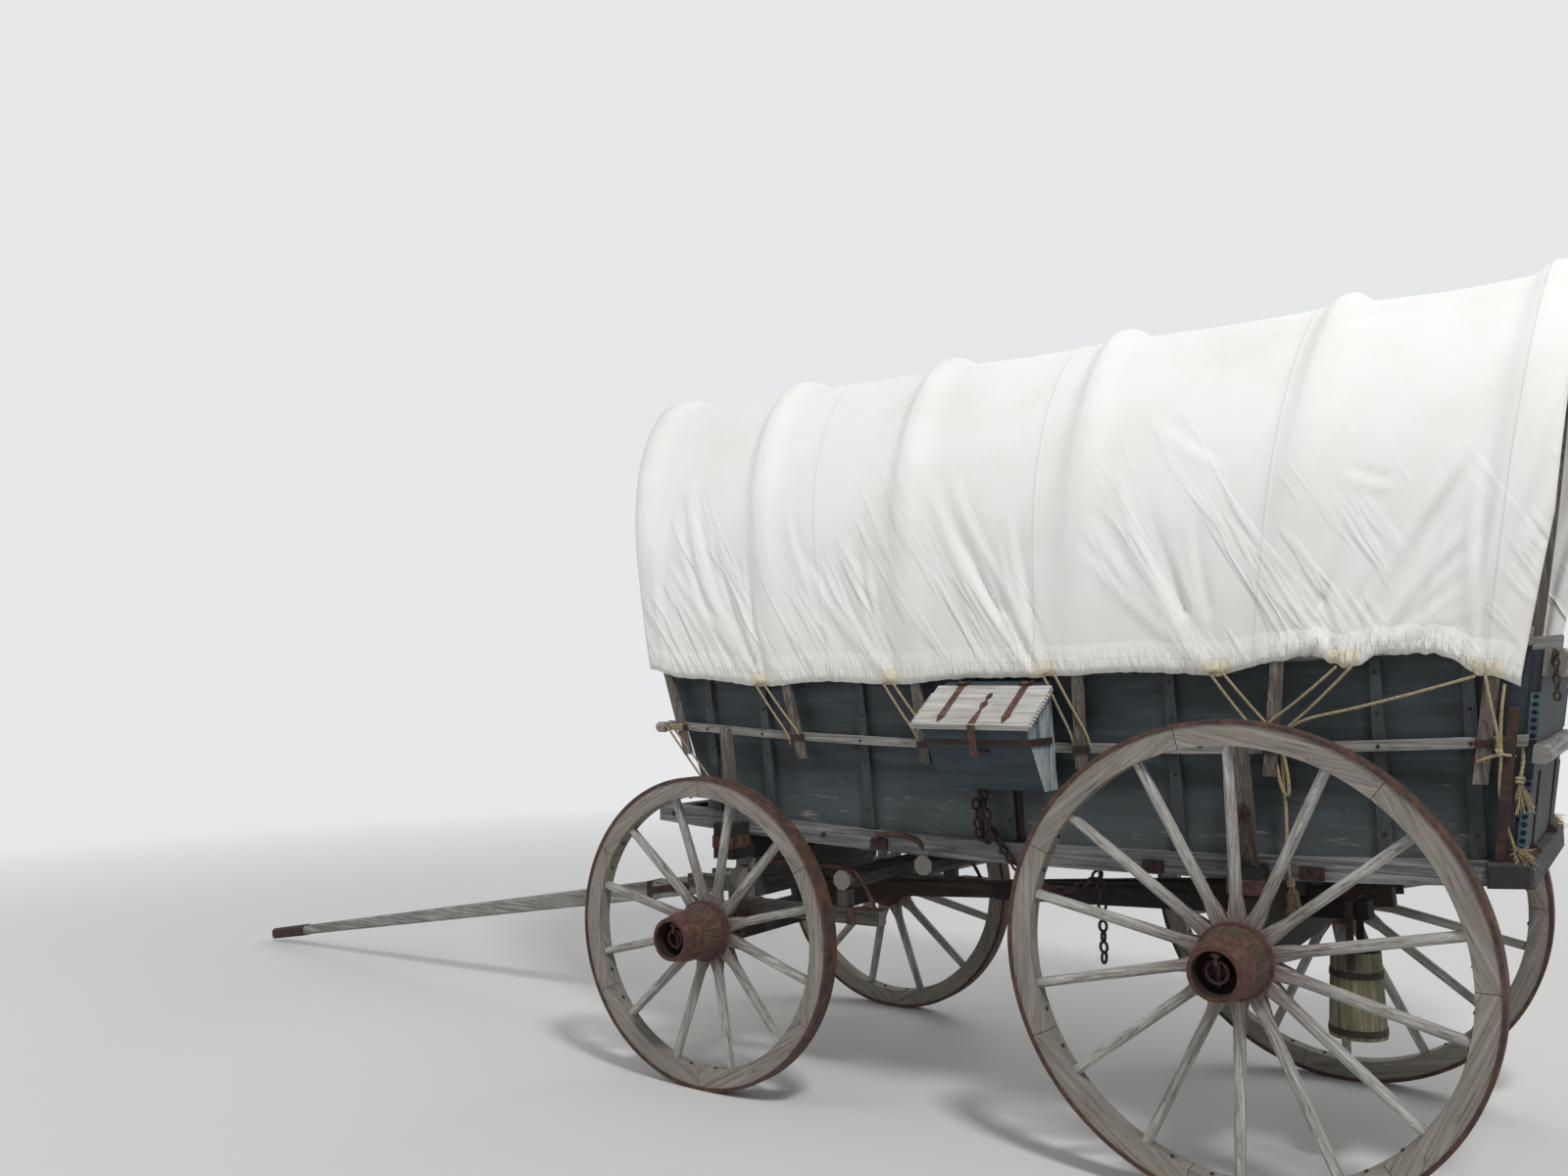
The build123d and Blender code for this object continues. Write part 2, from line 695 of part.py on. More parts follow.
front_gate_x = bed_front_x - 32
front_gate_z = sill_mid_top_z + rise(front_gate_x) + seat + floor_thickness + seat
front_place, front_slats, front_bars = gate(
    front_gate_x, front_gate_z, 1, front_rake, board_thickness + 3.0, front_gate_bars
)
keep("front_gate", front_slats)
keep("front_gate_bars", front_bars)
rear_gate_x = bed_rear_x - gate_gap - gate_thickness
rear_gate_z = sill_mid_top_z + rise(rear_gate_x) + gate_gap
rear_place, rear_slats, rear_bars = gate(rear_gate_x, rear_gate_z, -1, rear_rake, 0.0, rear_gate_bars)
keep("rear_gate", rear_slats)
keep("rear_gate_bars", rear_bars)

tilt = radians(rear_rake)
gate_pin_x = rear_gate_x - gate_pin_out * cos(tilt) - gate_pin_up * sin(tilt)
gate_pin_z = rear_gate_z + gate_pin_up * cos(tilt) - gate_pin_out * sin(tilt)
for y in (-gate_hinge_y, gate_hinge_y):
    leaf = rear_place * block((y - 15, seat, gate_pin_up), (y + 15, 5.0, 240.0))
    leaf += Pos(gate_pin_x, y, gate_pin_z) * Rot(90, 0, 0) * Cylinder(gate_pin_radius + 4.5, 30)
    leaf -= Pos(gate_pin_x, y, gate_pin_z) * Rot(90, 0, 0) * Cylinder(gate_pin_radius + running_gap, 60)
    keep("rear_gate_hinges", leaf)
    pin = Pos(gate_pin_x, y, gate_pin_z) * Rot(90, 0, 0) * Cylinder(gate_pin_radius, 62)
    for side in (-1, 1):
        lug_low = sill_mid_top_z + rise(gate_pin_x - 14) + seat
        lug_y = y + side * 25
        pin += block((gate_pin_x - 14, lug_y - 6, lug_low), (gate_pin_x + 6, lug_y + 6, gate_pin_z))
        pin += Pos(gate_pin_x, lug_y, gate_pin_z) * Rot(90, 0, 0) * Cylinder(gate_pin_radius + 4, 12)
    keep("rear_gate_pins", pin)

# Bows


def bow_plane(x_ref, x_crown):
    """The leaning plane of a bow, with its origin over the spring line, and its stretch."""
    lean = atan((x_crown - x_ref) / (bow_crown_z - bow_ref_z))
    x_spring = x_ref + (bow_spring_z - bow_ref_z) * tan(lean)
    plane = Plane(
        origin=(x_spring, 0, bow_spring_z), x_dir=(0, 1, 0), z_dir=(cos(lean), 0, -sin(lean))
    )
    return plane, 1.0 / cos(lean)


def arc_about(centre, radius, start, end):
    """An arc by its centre, radius and two angles in radians."""
    points = [
        (centre[0] + radius * cos(angle), centre[1] + radius * sin(angle))
        for angle in (start, (start + end) / 2, end)
    ]
    return ThreePointArc(*points), points


def arch(stretch, half_width, crown_drop, grow, foot_z, straight):
    """One offset line of a bow: (edges from the left foot over to the right one, foot points)."""
    slope = atan(tan(radians(wall_lean)) / stretch)
    crown = (bow_crown_z - crown_drop - bow_spring_z) * stretch
    small = bow_crown_radius
    big = (half_width ** 2 + (crown - small) ** 2 - small ** 2) / (2 * (half_width - small))
    middle_side = (half_width - big, 0.0)
    middle_crown = (0.0, crown - small)
    meet = atan2(middle_crown[1] - middle_side[1], middle_crown[0] - middle_side[0])
    # The straight foot runs along the wall, outside the rails.
    ref_y = wall_y(bow_ref_z) + (post_depth + mid_rail_depth + seat + bow_thickness / 2) / cos(radians(wall_lean))
    ref_v = (bow_ref_z - bow_spring_z) * stretch
    low_radius = ((ref_y - half_width) * cos(slope) - ref_v * sin(slope)) / (1 - cos(slope))
    middle_low = (half_width - low_radius, 0.0)
    foot_v = (foot_z - bow_spring_z) * stretch
    if straight:
        low_arc, low_points = arc_about(middle_low, low_radius + grow, -slope, 0.0)
        run = (low_points[0][1] - foot_v) / cos(slope)
        foot = (low_points[0][0] - run * sin(slope), foot_v)
        side = [Line(foot, low_points[0]), low_arc]
    else:
        low_angle = asin(foot_v / (low_radius + grow))
        low_arc, low_points = arc_about(middle_low, low_radius + grow, low_angle, 0.0)
        foot = low_points[0]
        side = [low_arc]
    side_arc, _ = arc_about(middle_side, big + grow, 0.0, meet)
    side.append(side_arc)
    crown_arc, _ = arc_about(middle_crown, small + grow, meet, pi - meet)
    other = [mirror(edge, about=Plane.YZ) for edge in side]
    return side + [crown_arc] + other, foot


def arch_face(stretch, half_width, crown_drop, grow_in, grow_out, foot_z, straight):
    """The face between two offset lines of a bow."""
    outer, outer_foot = arch(stretch, half_width, crown_drop, grow_out, foot_z, straight)
    inner, inner_foot = arch(stretch, half_width, crown_drop, grow_in, foot_z, straight)
    ends = [
        Line(outer_foot, inner_foot),
        Line((-outer_foot[0], outer_foot[1]), (-inner_foot[0], inner_foot[1])),
    ]
    return make_face(outer + inner + ends)


for x_ref, x_crown in bows:
    plane, stretch = bow_plane(x_ref, x_crown)
    face = arch_face(stretch, bow_half_width, 0.0, -bow_thickness / 2, bow_thickness / 2, bow_foot_z, True)
    bow = extrude(plane * face, bow_width / 2, both=True, dir=(1, 0, 0))
    keep("bows", bow)

# Iron staples that hold the bows' feet to the mid rails, and a bar at each rear corner

outside_rail = post_depth + mid_rail_depth + seat


def bow_x(x_ref, x_crown, v):
    """Middle of a bow's foot, at a height along the wall."""
    lean, middle_t = radians(wall_lean), outside_rail + bow_thickness / 2
    z = bed_foot_z + v * cos(lean) - middle_t * sin(lean)
    return x_ref + (x_crown - x_ref) * (z - bow_ref_z) / (bow_crown_z - bow_ref_z)


def leaning_strip(bow_ends, half, v_low, v_high):
    low, high = (bow_x(*bow_ends, v) for v in (v_low, v_high))
    return polygon([(low - half, v_low), (low + half, v_low), (high + half, v_high), (high - half, v_high)])


for bow_ends in bows:
    v_middle = mid_rail_v + rise(bow_ends[0])
    room = bow_width / 2 + 2 * seat
    out = outside_rail + bow_thickness + 2 * seat
    iron = on_wall(
        leaning_strip(bow_ends, room + staple_iron, v_middle - staple_height / 2, v_middle + staple_height / 2),
        outside_rail, out + staple_iron,
    )
    passage = leaning_strip(bow_ends, room, v_middle - staple_height, v_middle + staple_height)
    keep("bow_staples", both_sides(iron - on_wall(passage, outside_rail - 1, out)))

corner_low_v = (sill_mid_top_z + rise(corner_bar_x) + 3 * seat - bed_foot_z) / cos(radians(wall_lean))
corner_low_v += (outside_rail + corner_bar_width) * tan(radians(wall_lean))
corner_top_x = corner_bar_x - (corner_bar_high_v - corner_low_v) * tan(radians(rear_rake))
corner_half = corner_bar_width / 2
corner_face = polygon(
    [
        (corner_bar_x - corner_half, corner_low_v), (corner_bar_x + corner_half, corner_low_v),
        (corner_top_x + corner_half, corner_bar_high_v), (corner_top_x - corner_half, corner_bar_high_v),
    ]
)
keep("corner_bars", both_sides(on_wall(corner_face, outside_rail, outside_rail + corner_bar_width)))

# Loose ropes that hang from the left mid rail


def rope_tube(points):
    """A limp rope: runs joined by wide arcs."""
    corners = zip(points, points[1:], points[2:])
    radii = []
    for before, corner, after in corners:
        run, next_run = Vector(corner) - Vector(before), Vector(after) - Vector(corner)
        half_turn = radians(run.get_angle(next_run)) / 2
        radii.append(0.45 * min(run.length, next_run.length) / tan(half_turn))
    print("rope radii", [round(radius) for radius in radii])
    route = FilletPolyline(*points, radius=radii)
    return sweep(Plane(origin=route @ 0, z_dir=route % 0) * Circle(rope_radius), path=route)


keep("side_rope", rope_tube(side_rope_route))
keep("corner_rope", rope_tube(corner_rope_route))

# Cover: one cloth over the bows, sagging between them

cover_in = bow_thickness / 2 + cover_gap
side_sag = 6.0
crown_sag = 26.0
land = bow_width / 2 + 4.0
cover_sections = [(bows[0][0] + 105, bows[0][1] + 80, side_sag, crown_sag)]
for i, (x_ref, x_crown) in enumerate(bows):
    lands = {0: [land, -land], len(bows) - 1: [land, -land]}.get(i, [0.0])
    for step in lands:
        cover_sections.append((x_ref + step, x_crown + step, 0.0, 0.0))
    if i + 1 < len(bows):
        next_ref, next_crown = bows[i + 1]
        cover_sections.append(((x_ref + next_ref) / 2, (x_crown + next_crown) / 2, side_sag, crown_sag))
cover_sections.append((bows[-1][0] - 140, bows[-1][1] - 90, 20.0, 44.0))

section_faces = []
for x_ref, x_crown, side_in, crown_in in cover_sections:
    plane, stretch = bow_plane(x_ref, x_crown)
    face = arch_face(
        stretch, bow_half_width - side_in, crown_in, cover_in, cover_in + cover_thickness, cover_hem_z, False
    )
    section_faces.append(plane * face)
keep("cover", loft(section_faces, ruled=True))

# Toolbox with a sloping lid, hinged behind a fixed strip


def box_back_y(z):
    """The toolbox back stands on the mid rail, parallel to the side."""
    return wall_y(z) + (post_depth + mid_rail_depth + seat) / cos(radians(wall_lean))


def on_yz(points, x_low, x_high):
    """A face drawn as (y, z), given a length along X."""
    face = Plane.YZ * polygon(points)
    return Pos(x_low, 0, 0) * extrude(face, x_high - x_low, dir=(1, 0, 0))


back_high_y = box_back_y(box_back_high_z)
lid_angle = atan2(box_back_high_z - box_front_high_z, box_front_high_y - back_high_y)


def on_slope(along, above):
    """A point (y, z) along the box's sloping top and above it."""
    y = back_high_y + along * cos(lid_angle) + above * sin(lid_angle)
    z = box_back_high_z - along * sin(lid_angle) + above * cos(lid_angle)
    return (y, z)


front_slope = (box_front_high_y - box_front_low_y) / (box_front_high_z - box_low_z)
slope_length = hypot(box_front_high_y - back_high_y, box_back_high_z - box_front_high_z)
strip_high_z = on_slope(0, lid_gap + lid_thickness)[1]
box_outline = [
    (box_back_y(box_low_z), box_low_z),
    (box_front_low_y, box_low_z),
    on_slope(slope_length, 0),
    on_slope(lid_strip - 2, 0),
    on_slope(lid_strip - 2, lid_gap + lid_thickness),
    (box_back_y(strip_high_z), strip_high_z),
]
floor_z = box_low_z + box_wall
wall_run = box_wall / cos(atan(front_slope))
back_wall = box_wall / cos(radians(wall_lean))
hollow = [
    (box_back_y(floor_z) + back_wall, floor_z),
    (box_front_low_y + front_slope * box_wall - wall_run, floor_z),
    (on_slope(slope_length, 0)[0] - wall_run, on_slope(slope_length, 0)[1]),
    on_slope(slope_length, 60),
    on_slope(lid_strip, 60),
    on_slope(lid_strip, -box_wall),
    (box_back_y(box_back_high_z - 40) + back_wall, box_back_high_z - 40),
]
shell = on_yz(box_outline, box_rear_x, box_front_x)
shell -= on_yz(hollow, box_rear_x + box_wall, box_front_x - box_wall)
keep("toolbox", shell)

lid_low, lid_high = lid_gap, lid_gap + lid_thickness
lid_outline = [
    on_slope(lid_strip, lid_low),
    on_slope(slope_length + lid_overhang, lid_low),
    on_slope(slope_length + lid_overhang, lid_high),
    on_slope(lid_strip, lid_high),
]
keep("toolbox_lid", on_yz(lid_outline, box_rear_x - lid_overhang, box_front_x + lid_overhang))
lid_pin_radius = 3.5
lid_pin_above = lid_high + 8.0
lid_axis_y, lid_axis_z = on_slope(lid_strip - 1, lid_pin_above)
for x in (box_rear_x + 75, box_front_x - 75):
    barrel = Pos(x, lid_axis_y, lid_axis_z) * Rot(0, 90, 0)
    top = lid_high + seat
    moving = on_yz(
        [
            on_slope(lid_strip - 1, top), on_slope(slope_length - 25, top),
            on_slope(slope_length - 25, top + 3), on_slope(lid_strip - 1, top + 3),
        ],
        x - 12, x + 12,
    )
    moving += barrel * Cylinder(lid_pin_radius + 4, 24)
    moving -= barrel * Cylinder(lid_pin_radius + running_gap, 60)
    keep("lid_hinges", moving)
    fixed = barrel * Cylinder(lid_pin_radius, 46)
    for side in (-1, 1):
        lug_x = x + side * 18
        foot = [
            on_slope(3, top), on_slope(lid_strip - 3, top),
            on_slope(lid_strip + 3, lid_pin_above), on_slope(lid_strip - 2, lid_pin_above + 5),
            on_slope(lid_strip - 8, lid_pin_above), on_slope(3, top + 4),
        ]
        fixed += on_yz(foot, lug_x - 5, lug_x + 5)
    keep("lid_pins", fixed)

# Tar bucket, hung from the left rear hound by a strap over its top

bucket = Cone(bucket_low_radius, bucket_high_radius, bucket_height, align=(Align.CENTER, Align.CENTER, Align.MIN))
bucket -= Pos(0, 0, 14) * Cone(
    bucket_low_radius - bucket_wall, bucket_high_radius - bucket_wall, bucket_height,
    align=(Align.CENTER, Align.CENTER, Align.MIN),
)
keep("tar_bucket", Pos(bucket_x, bucket_y, bucket_low_z) * bucket)
strap_low = bucket_low_z + bucket_height - 52.0
strap_near = bucket_low_radius + (bucket_high_radius - bucket_low_radius) * (1 - 52.0 / bucket_height) + seat
strap_high = reach_front_z + (wheelbase - bucket_x + 12) * tan(radians(reach_angle))
strap_high += reach_height / 2 / cos(radians(reach_angle)) + seat
hanger = block(
    (bucket_x - 12, bucket_y - strap_near - 4, strap_high), (bucket_x + 12, bucket_y + strap_near + 4, strap_high + 4)
)
for side in (-1, 1):
    near, far = sorted((bucket_y + side * strap_near, bucket_y + side * (strap_near + 4)))
    hanger += block((bucket_x - 12, near, strap_low), (bucket_x + 12, far, strap_high + 4))
keep("bucket_strap", hanger)

# Everything is moved so that the origin lies under the middle of its outline.

boxes = [solid.bounding_box() for solids in parts.values() for solid in solids]
low_x = min(one.min.X for one in boxes)
high_x = max(one.max.X for one in boxes)
shift = -(low_x + high_x) / 2
print("moved along X by", round(shift, 3))
print("wheel centres x", round(shift, 3), round(wheelbase + shift, 3))
print("tongue pin", round(tongue_pin_x + shift, 3), round(tongue_pin_z, 3))
draw_hole = (tongue_place * Pos(draw_pin_at, 0, 0)).position
print("draw pin hole", [round(value, 3) for value in (draw_hole.X + shift, draw_hole.Y, draw_hole.Z)])
print("tongue slope", round(degrees(tongue_slope), 4))
print("lid axis", round(lid_axis_y, 3), round(lid_axis_z, 3))
print("rear gate axis", round(gate_pin_x + shift, 3), round(gate_pin_z, 3))
print("lowest", round(min(one.min.Z for one in boxes), 3))
for name, solids in parts.items():
    export_step(Compound([Pos(shift, 0, 0) * solid for solid in solids]), f"parts/{name}.step")
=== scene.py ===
import bpy
import bmesh
import random
from functools import partial
from math import cos, exp, hypot, pi, radians, sin, sqrt, tan
from mathutils import Matrix, Vector, noise
from mathutils.bvhtree import BVHTree


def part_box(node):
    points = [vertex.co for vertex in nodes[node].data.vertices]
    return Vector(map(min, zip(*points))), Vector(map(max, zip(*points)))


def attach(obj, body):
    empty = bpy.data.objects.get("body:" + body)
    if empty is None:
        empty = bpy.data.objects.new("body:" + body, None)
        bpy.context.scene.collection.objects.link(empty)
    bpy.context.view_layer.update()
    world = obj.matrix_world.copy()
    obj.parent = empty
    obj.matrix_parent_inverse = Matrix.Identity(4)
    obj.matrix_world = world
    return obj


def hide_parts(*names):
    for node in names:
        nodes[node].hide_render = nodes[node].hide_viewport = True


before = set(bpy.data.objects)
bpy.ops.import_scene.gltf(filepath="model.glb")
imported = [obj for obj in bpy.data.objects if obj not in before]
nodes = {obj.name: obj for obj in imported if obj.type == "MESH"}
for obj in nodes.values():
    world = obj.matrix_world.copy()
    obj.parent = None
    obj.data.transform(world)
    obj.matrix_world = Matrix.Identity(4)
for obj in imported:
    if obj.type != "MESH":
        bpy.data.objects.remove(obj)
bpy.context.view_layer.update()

# Places are given from the rear axle: x forward, y left, z up from the ground
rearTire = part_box("rear_left_tire")
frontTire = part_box("front_left_tire")
rearAxleX = (rearTire[0].x + rearTire[1].x) / 2
wheelbase = (frontTire[0].x + frontTire[1].x) / 2 - rearAxleX
rearRadius = rearTire[1].z / 2
frontRadius = frontTire[1].z / 2


def at(x, y, z):
    return Vector((x + rearAxleX, y, z))


def route(*rows):
    return [at(*row) for row in rows]


def treeOf(name):
    return BVHTree.FromObject(nodes[name], bpy.context.evaluated_depsgraph_get())


axisX, axisY, axisZ = (row.copy() for row in Matrix.Identity(3))


# Camera, solved from the four wheels in the photograph
camera = {"place": (-1.1512, 4.7725, 1.6086), "yaw": -55.138, "pitch": 3.819, "roll": -0.405,
          "focalPixels": 1310.85, "imageWidth": 1600}


def aimCamera():
    yaw, pitch, roll = (radians(camera[key]) for key in ("yaw", "pitch", "roll"))
    forward = Vector((cos(pitch) * cos(yaw), cos(pitch) * sin(yaw), sin(pitch)))
    right = Vector((sin(yaw), -cos(yaw), 0))
    up = right.cross(forward)
    turnedRight = right * cos(roll) + up * sin(roll)
    turnedUp = up * cos(roll) - right * sin(roll)
    lens = bpy.data.cameras.new("camera")
    lens.sensor_width = 36
    lens.lens = 36 * camera["focalPixels"] / camera["imageWidth"]
    lens.clip_end = 200
    holder = bpy.data.objects.new("camera", lens)
    bpy.context.scene.collection.objects.link(holder)
    axes = Matrix((turnedRight, turnedUp, -forward)).transposed().to_4x4()
    holder.matrix_world = Matrix.Translation(at(*camera["place"])) @ axes
    bpy.context.scene.camera = holder


aimCamera()
print("camera set")

# Materials


def linear(hexColour):
    parts = [int(hexColour[i:i + 2], 16) / 255 for i in (1, 3, 5)]
    return [c / 12.92 if c <= 0.04045 else ((c + 0.055) / 1.055) ** 2.4 for c in parts] + [1.0]


def addNode(tree, kind, *values, **settings):
    # kind may name the node's mode too; values fill the inputs in use, in order, and settings go by name, as fromMin
    # for From Min; a socket is linked, any other value is set; gives the output in use
    kind, *mode = kind.split()
    node = tree.nodes.new(f"ShaderNode{kind}")
    if mode:
        setattr(node, "data_type" if kind == "Mix" else "operation", mode[0])
    named = {}
    for name, value in settings.items():
        title = "".join(" " + c if c.isupper() else c for c in name).title()
        if title in node.inputs:
            named[title] = value
        else:
            setattr(node, name, value)
    inputs = [socket for socket in node.inputs if socket.enabled]
    for socket, value in [*zip(inputs, values), *((node.inputs[title], value) for title, value in named.items())]:
        if isinstance(value, bpy.types.NodeSocket):
            tree.links.new(value, socket)
        else:
            socket.default_value = value
    return next((socket for socket in node.outputs if socket.enabled), None)


def setRamp(output, places, colours):
    # a wood's shades hold two more than its ramp takes
    elements = output.node.color_ramp.elements
    while len(elements) < len(places):
        elements.new(0.5)
    for element, place, colour in zip(elements, places, colours):
        element.position = place
        element.color = linear(colour)


def startMaterial(name):
    material = bpy.data.materials.new(name)
    material.use_nodes = True
    material.node_tree.nodes.clear()
    add = partial(addNode, material.node_tree)
    shader = add("BsdfPrincipled", roughness=0.85).node
    add("OutputMaterial", shader.outputs[0])
    place = add("TexCoord").node.outputs["Object"]
    return material, add, shader, place


def finish(add, shader, colour, height, distance, strength=0.7):
    links = shader.id_data.links
    links.new(colour, shader.inputs["Base Color"])
    bump = add("Bump", strength=strength, distance=distance, height=height)
    links.new(bump, shader.inputs["Normal"])


def roundHub(add, place, centre):
    # the spot seen from the hub, its parts and its angle round the axle
    fromHub = add("VectorMath SUBTRACT", place, centre)
    parts = add("SeparateXYZ", fromHub).node.outputs
    return fromHub, parts, add("Math ARCTAN2", parts[2], parts[0])


def awayFrom(add, place, centre):
    # distance from the axle's line
    flat = add("VectorMath MULTIPLY", place, (1, 0, 1))
    return add("VectorMath DISTANCE", flat, (centre[0], 0, centre[2]))


def grainVector(add, place, direction, along, across, centre=None, planks=6):
    # along and across are the pattern's sizes in metres; a wheel's grain runs along each sawn plank of its rim,
    # or out from its centre
    if direction in "XYZ":
        return add("Mapping", place, scale=[1 / along if axis == direction else 1 / across for axis in "XYZ"])
    fromHub, parts, angle = roundHub(add, place, centre)
    if direction == "radial":
        radius = add("VectorMath LENGTH", add("VectorMath MULTIPLY", fromHub, (1, 0, 1)))
        polar = add("CombineXYZ", angle, radius, parts[1])
        return add("Mapping", polar, scale=(centre[2] / 2 / across, 1 / along, 1 / across))
    arc = 2 * pi / planks
    plank = add("Math ROUND", add("Math DIVIDE", angle, arc))
    turnBack = add("Math MULTIPLY", plank, arc)
    sawn = add("VectorRotate", fromHub, rotation_type="Y_AXIS", angle=turnBack)
    ownPlank = add("Math FLOORED_MODULO", plank, float(planks))
    return add("VectorMath MULTIPLY_ADD", sawn, (1 / across, 1 / across, 1 / along), ownPlank)


def addWood(add, place, direction, shades, centre=None, grain=0.012, planks=6):
    # bare weathered wood: silver streaks along the grain, dark checks, soft stains, dull sawn ends
    lines = grainVector(add, place, direction, grain * 28, grain, centre, planks)
    streaks = add("TexNoise", lines, scale=1.0, detail=5.0, roughness=0.62)
    ramp = add("ValToRGB", streaks)
    setRamp(ramp, (0.32, 0.5, 0.68), shades)
    stains = add("TexNoise", place, scale=4.0, detail=4.0, roughness=0.6)
    soiled = add("MapRange", stains, fromMin=0.45, fromMax=0.75, toMax=0.65)
    stained = add("Mix RGBA", soiled, ramp, linear(shades[0]))
    lines = grainVector(add, place, direction, grain * 45, grain * 1.6, centre, planks)
    checks = add("TexNoise", lines, scale=1.0, detail=2.0, roughness=0.5)
    middle = add("Math PINGPONG", checks, 0.5)
    thin = add("MapRange", middle, fromMin=0.484, fromMax=0.496)
    crack = add("Math MULTIPLY", thin, stains)
    colour = add("Mix RGBA", crack, stained, linear(shades[3]))
    if direction in "XYZ":
        normal = add("SeparateXYZ", add("TexCoord").node.outputs["Normal"]).node.outputs["XYZ".index(direction)]
        sawnEnd = add("MapRange", add("Math ABSOLUTE", normal), fromMin=0.75, fromMax=0.95, toMax=0.8)
        colour = add("Mix RGBA", sawnEnd, colour, linear(shades[4]))
    elif direction == "round":
        # dark joints between the planks of the rim
        turns = add("Math DIVIDE", roundHub(add, place, centre)[2], 2 * pi / planks)
        joint = add("MapRange", add("Math PINGPONG", turns, 0.5), fromMin=0.4975, fromMax=0.4988)
        colour = add("Mix RGBA", joint, colour, linear(shades[3]))
        crack = add("Math ADD", crack, joint)
    return colour, add("Math SUBTRACT", streaks, crack)


# Shades from dark to light, the colour in the cracks, then that of sawn ends
greyShades = ("#67645f", "#8a8783", "#aeaca8", "#2c2825", "#75726d")
# near black as painted shade: the axles, bolsters, cross sills and rear hounds under the bed
shadedUnderBedShades = ("#161311", "#231f1b", "#332e29", "#0b0908", "#231f1b")
# the gear's wood is darkened as painted shade from under the bed; only its pale sawn-end colour is the wood's own
shadedGearShades = ("#2f2c28", "#484440", "#66615b", "#151311", "#8f8982")
ironPlaces = (0.3, 0.48, 0.62, 0.76)


def makeWood(name, direction, shades, centre=None, grain=0.012, planks=6, stain=None):
    # stain is the colour and reach of the rust and grease round a hub
    material, add, shader, place = startMaterial(name)
    colour, height = addWood(add, place, direction, shades, centre, grain, planks)
    if stain:
        near = add("MapRange", awayFrom(add, place, centre), fromMin=0.12, fromMax=stain[1], toMin=0.85, toMax=0.0)
        patchy = add("MapRange", height, fromMin=0.2, fromMax=0.6, toMin=1.0, toMax=0.55)
        colour = add("Mix RGBA", add("Math MULTIPLY", near, patchy), colour, linear(stain[0]))
    finish(add, shader, colour, height, 0.003)
    return material


def makePaint(name, direction, paint, wood, wear, worn=None, bleached=None):
    # milk paint on planks, chalked by the sun and flaked off along the grain; rain splashed more away below worn,
    # and the sun took most of it off the end board behind bleached[0], in upright streaks of the shades after it
    material, add, shader, place = startMaterial(name)
    woodColour, woodHeight = addWood(add, place, direction, wood)
    tones = add("TexNoise", grainVector(add, place, direction, 0.5, 0.06), scale=1.0, detail=6.0, roughness=0.65)
    ramp = add("ValToRGB", tones)
    setRamp(ramp, (0.34, 0.52, 0.7), paint)
    flakes = add("TexNoise", grainVector(add, place, direction, 0.16, 0.03), scale=1.0, detail=8.0, roughness=0.72)
    faded = 0.0
    if worn:
        height = add("SeparateXYZ", place).node.outputs[2]
        splash = add("MapRange", height, fromMin=worn, fromMax=worn - 0.18, toMax=0.09)
        flakes = add("Math ADD", flakes, splash)
        faded = add("Math MULTIPLY", splash, 4.0)
    chalky = add("Mix RGBA", faded, ramp, linear("#6a7375"))
    bare = add("MapRange", flakes, fromMin=wear, fromMax=wear + 0.06)
    colour = add("Mix RGBA", add("Math MULTIPLY", bare, 0.7), chalky, woodColour)
    if bleached:
        across = add("SeparateXYZ", add("TexCoord").node.outputs["Normal"]).node.outputs[0]
        facing = add("MapRange", across, fromMin=-0.7, fromMax=-0.95)
        rearmost = add("Math LESS_THAN", add("SeparateXYZ", place).node.outputs[0], bleached[0])
        behind = add("Math MULTIPLY", facing, rearmost)
        peeled = add("TexNoise", grainVector(add, place, "Z", 0.22, 0.022), scale=1.0, detail=6.0, roughness=0.66)
        streaks = add("ValToRGB", peeled)
        setRamp(streaks, (0.36, 0.45, 0.6), bleached[1:])
        colour = add("Mix RGBA", behind, colour, streaks)
    height = add("Math SUBTRACT", add("Math MULTIPLY", woodHeight, 0.35), bare)
    finish(add, shader, colour, height, 0.0012)
    shader.inputs["Roughness"].default_value = 0.7
    return material


def makeIron(name, shades, patch=0.03):
    # forged iron under dry rust, pitted and blotched
    material, add, shader, place = startMaterial(name)
    blotch = add("TexNoise", place, scale=1 / patch, detail=8.0, roughness=0.7)
    ramp = add("ValToRGB", blotch)
    setRamp(ramp, ironPlaces, shades)
    pits = add("TexNoise", place, scale=260.0, detail=4.0, roughness=0.6)
    finish(add, shader, ramp, add("Math ADD", pits, blotch), 0.0012)
    shader.inputs["Roughness"].default_value = 0.78
    shader.inputs["Metallic"].default_value = 0.15
    return material


def makeHub(name, centre):
    # turned elm between red-leaded iron bands, told apart by their distance from the middle, and a bore painted near
    # black as painted shade
    material, add, shader, place = startMaterial(name)
    wood, woodHeight = addWood(add, place, "Y", ("#35271f", "#4e3d33", "#66554a", "#1b1410", "#35271f"), grain=0.009)
    blotch = add("TexNoise", place, scale=26.0, detail=8.0, roughness=0.7)
    ramp = add("ValToRGB", blotch)
    setRamp(ramp, ironPlaces, ("#2a1a15", "#472c24", "#5e392c", "#77492f"))
    across = add("Math ABSOLUTE", add("SeparateXYZ", place).node.outputs[1])
    woodPart = add("Math COMPARE", across, 0.8122, 0.0512)
    left = add("MapRange", blotch, fromMin=0.62, fromMax=0.56)
    colour = add("Mix RGBA", add("Math MULTIPLY", woodPart, left), ramp, wood)
    # painted shade: the hollow round the axle is painted near black
    paintedBoreShade = add("MapRange", awayFrom(add, place, centre), fromMin=0.069, fromMax=0.066, toMax=0.85)
    colour = add("Mix RGBA", paintedBoreShade, colour, linear("#15100d"))
    finish(add, shader, colour, add("Math ADD", woodHeight, blotch), 0.0016)
    return material


def coat(name, material):
    nodes[name].data.materials.clear()
    nodes[name].data.materials.append(material)


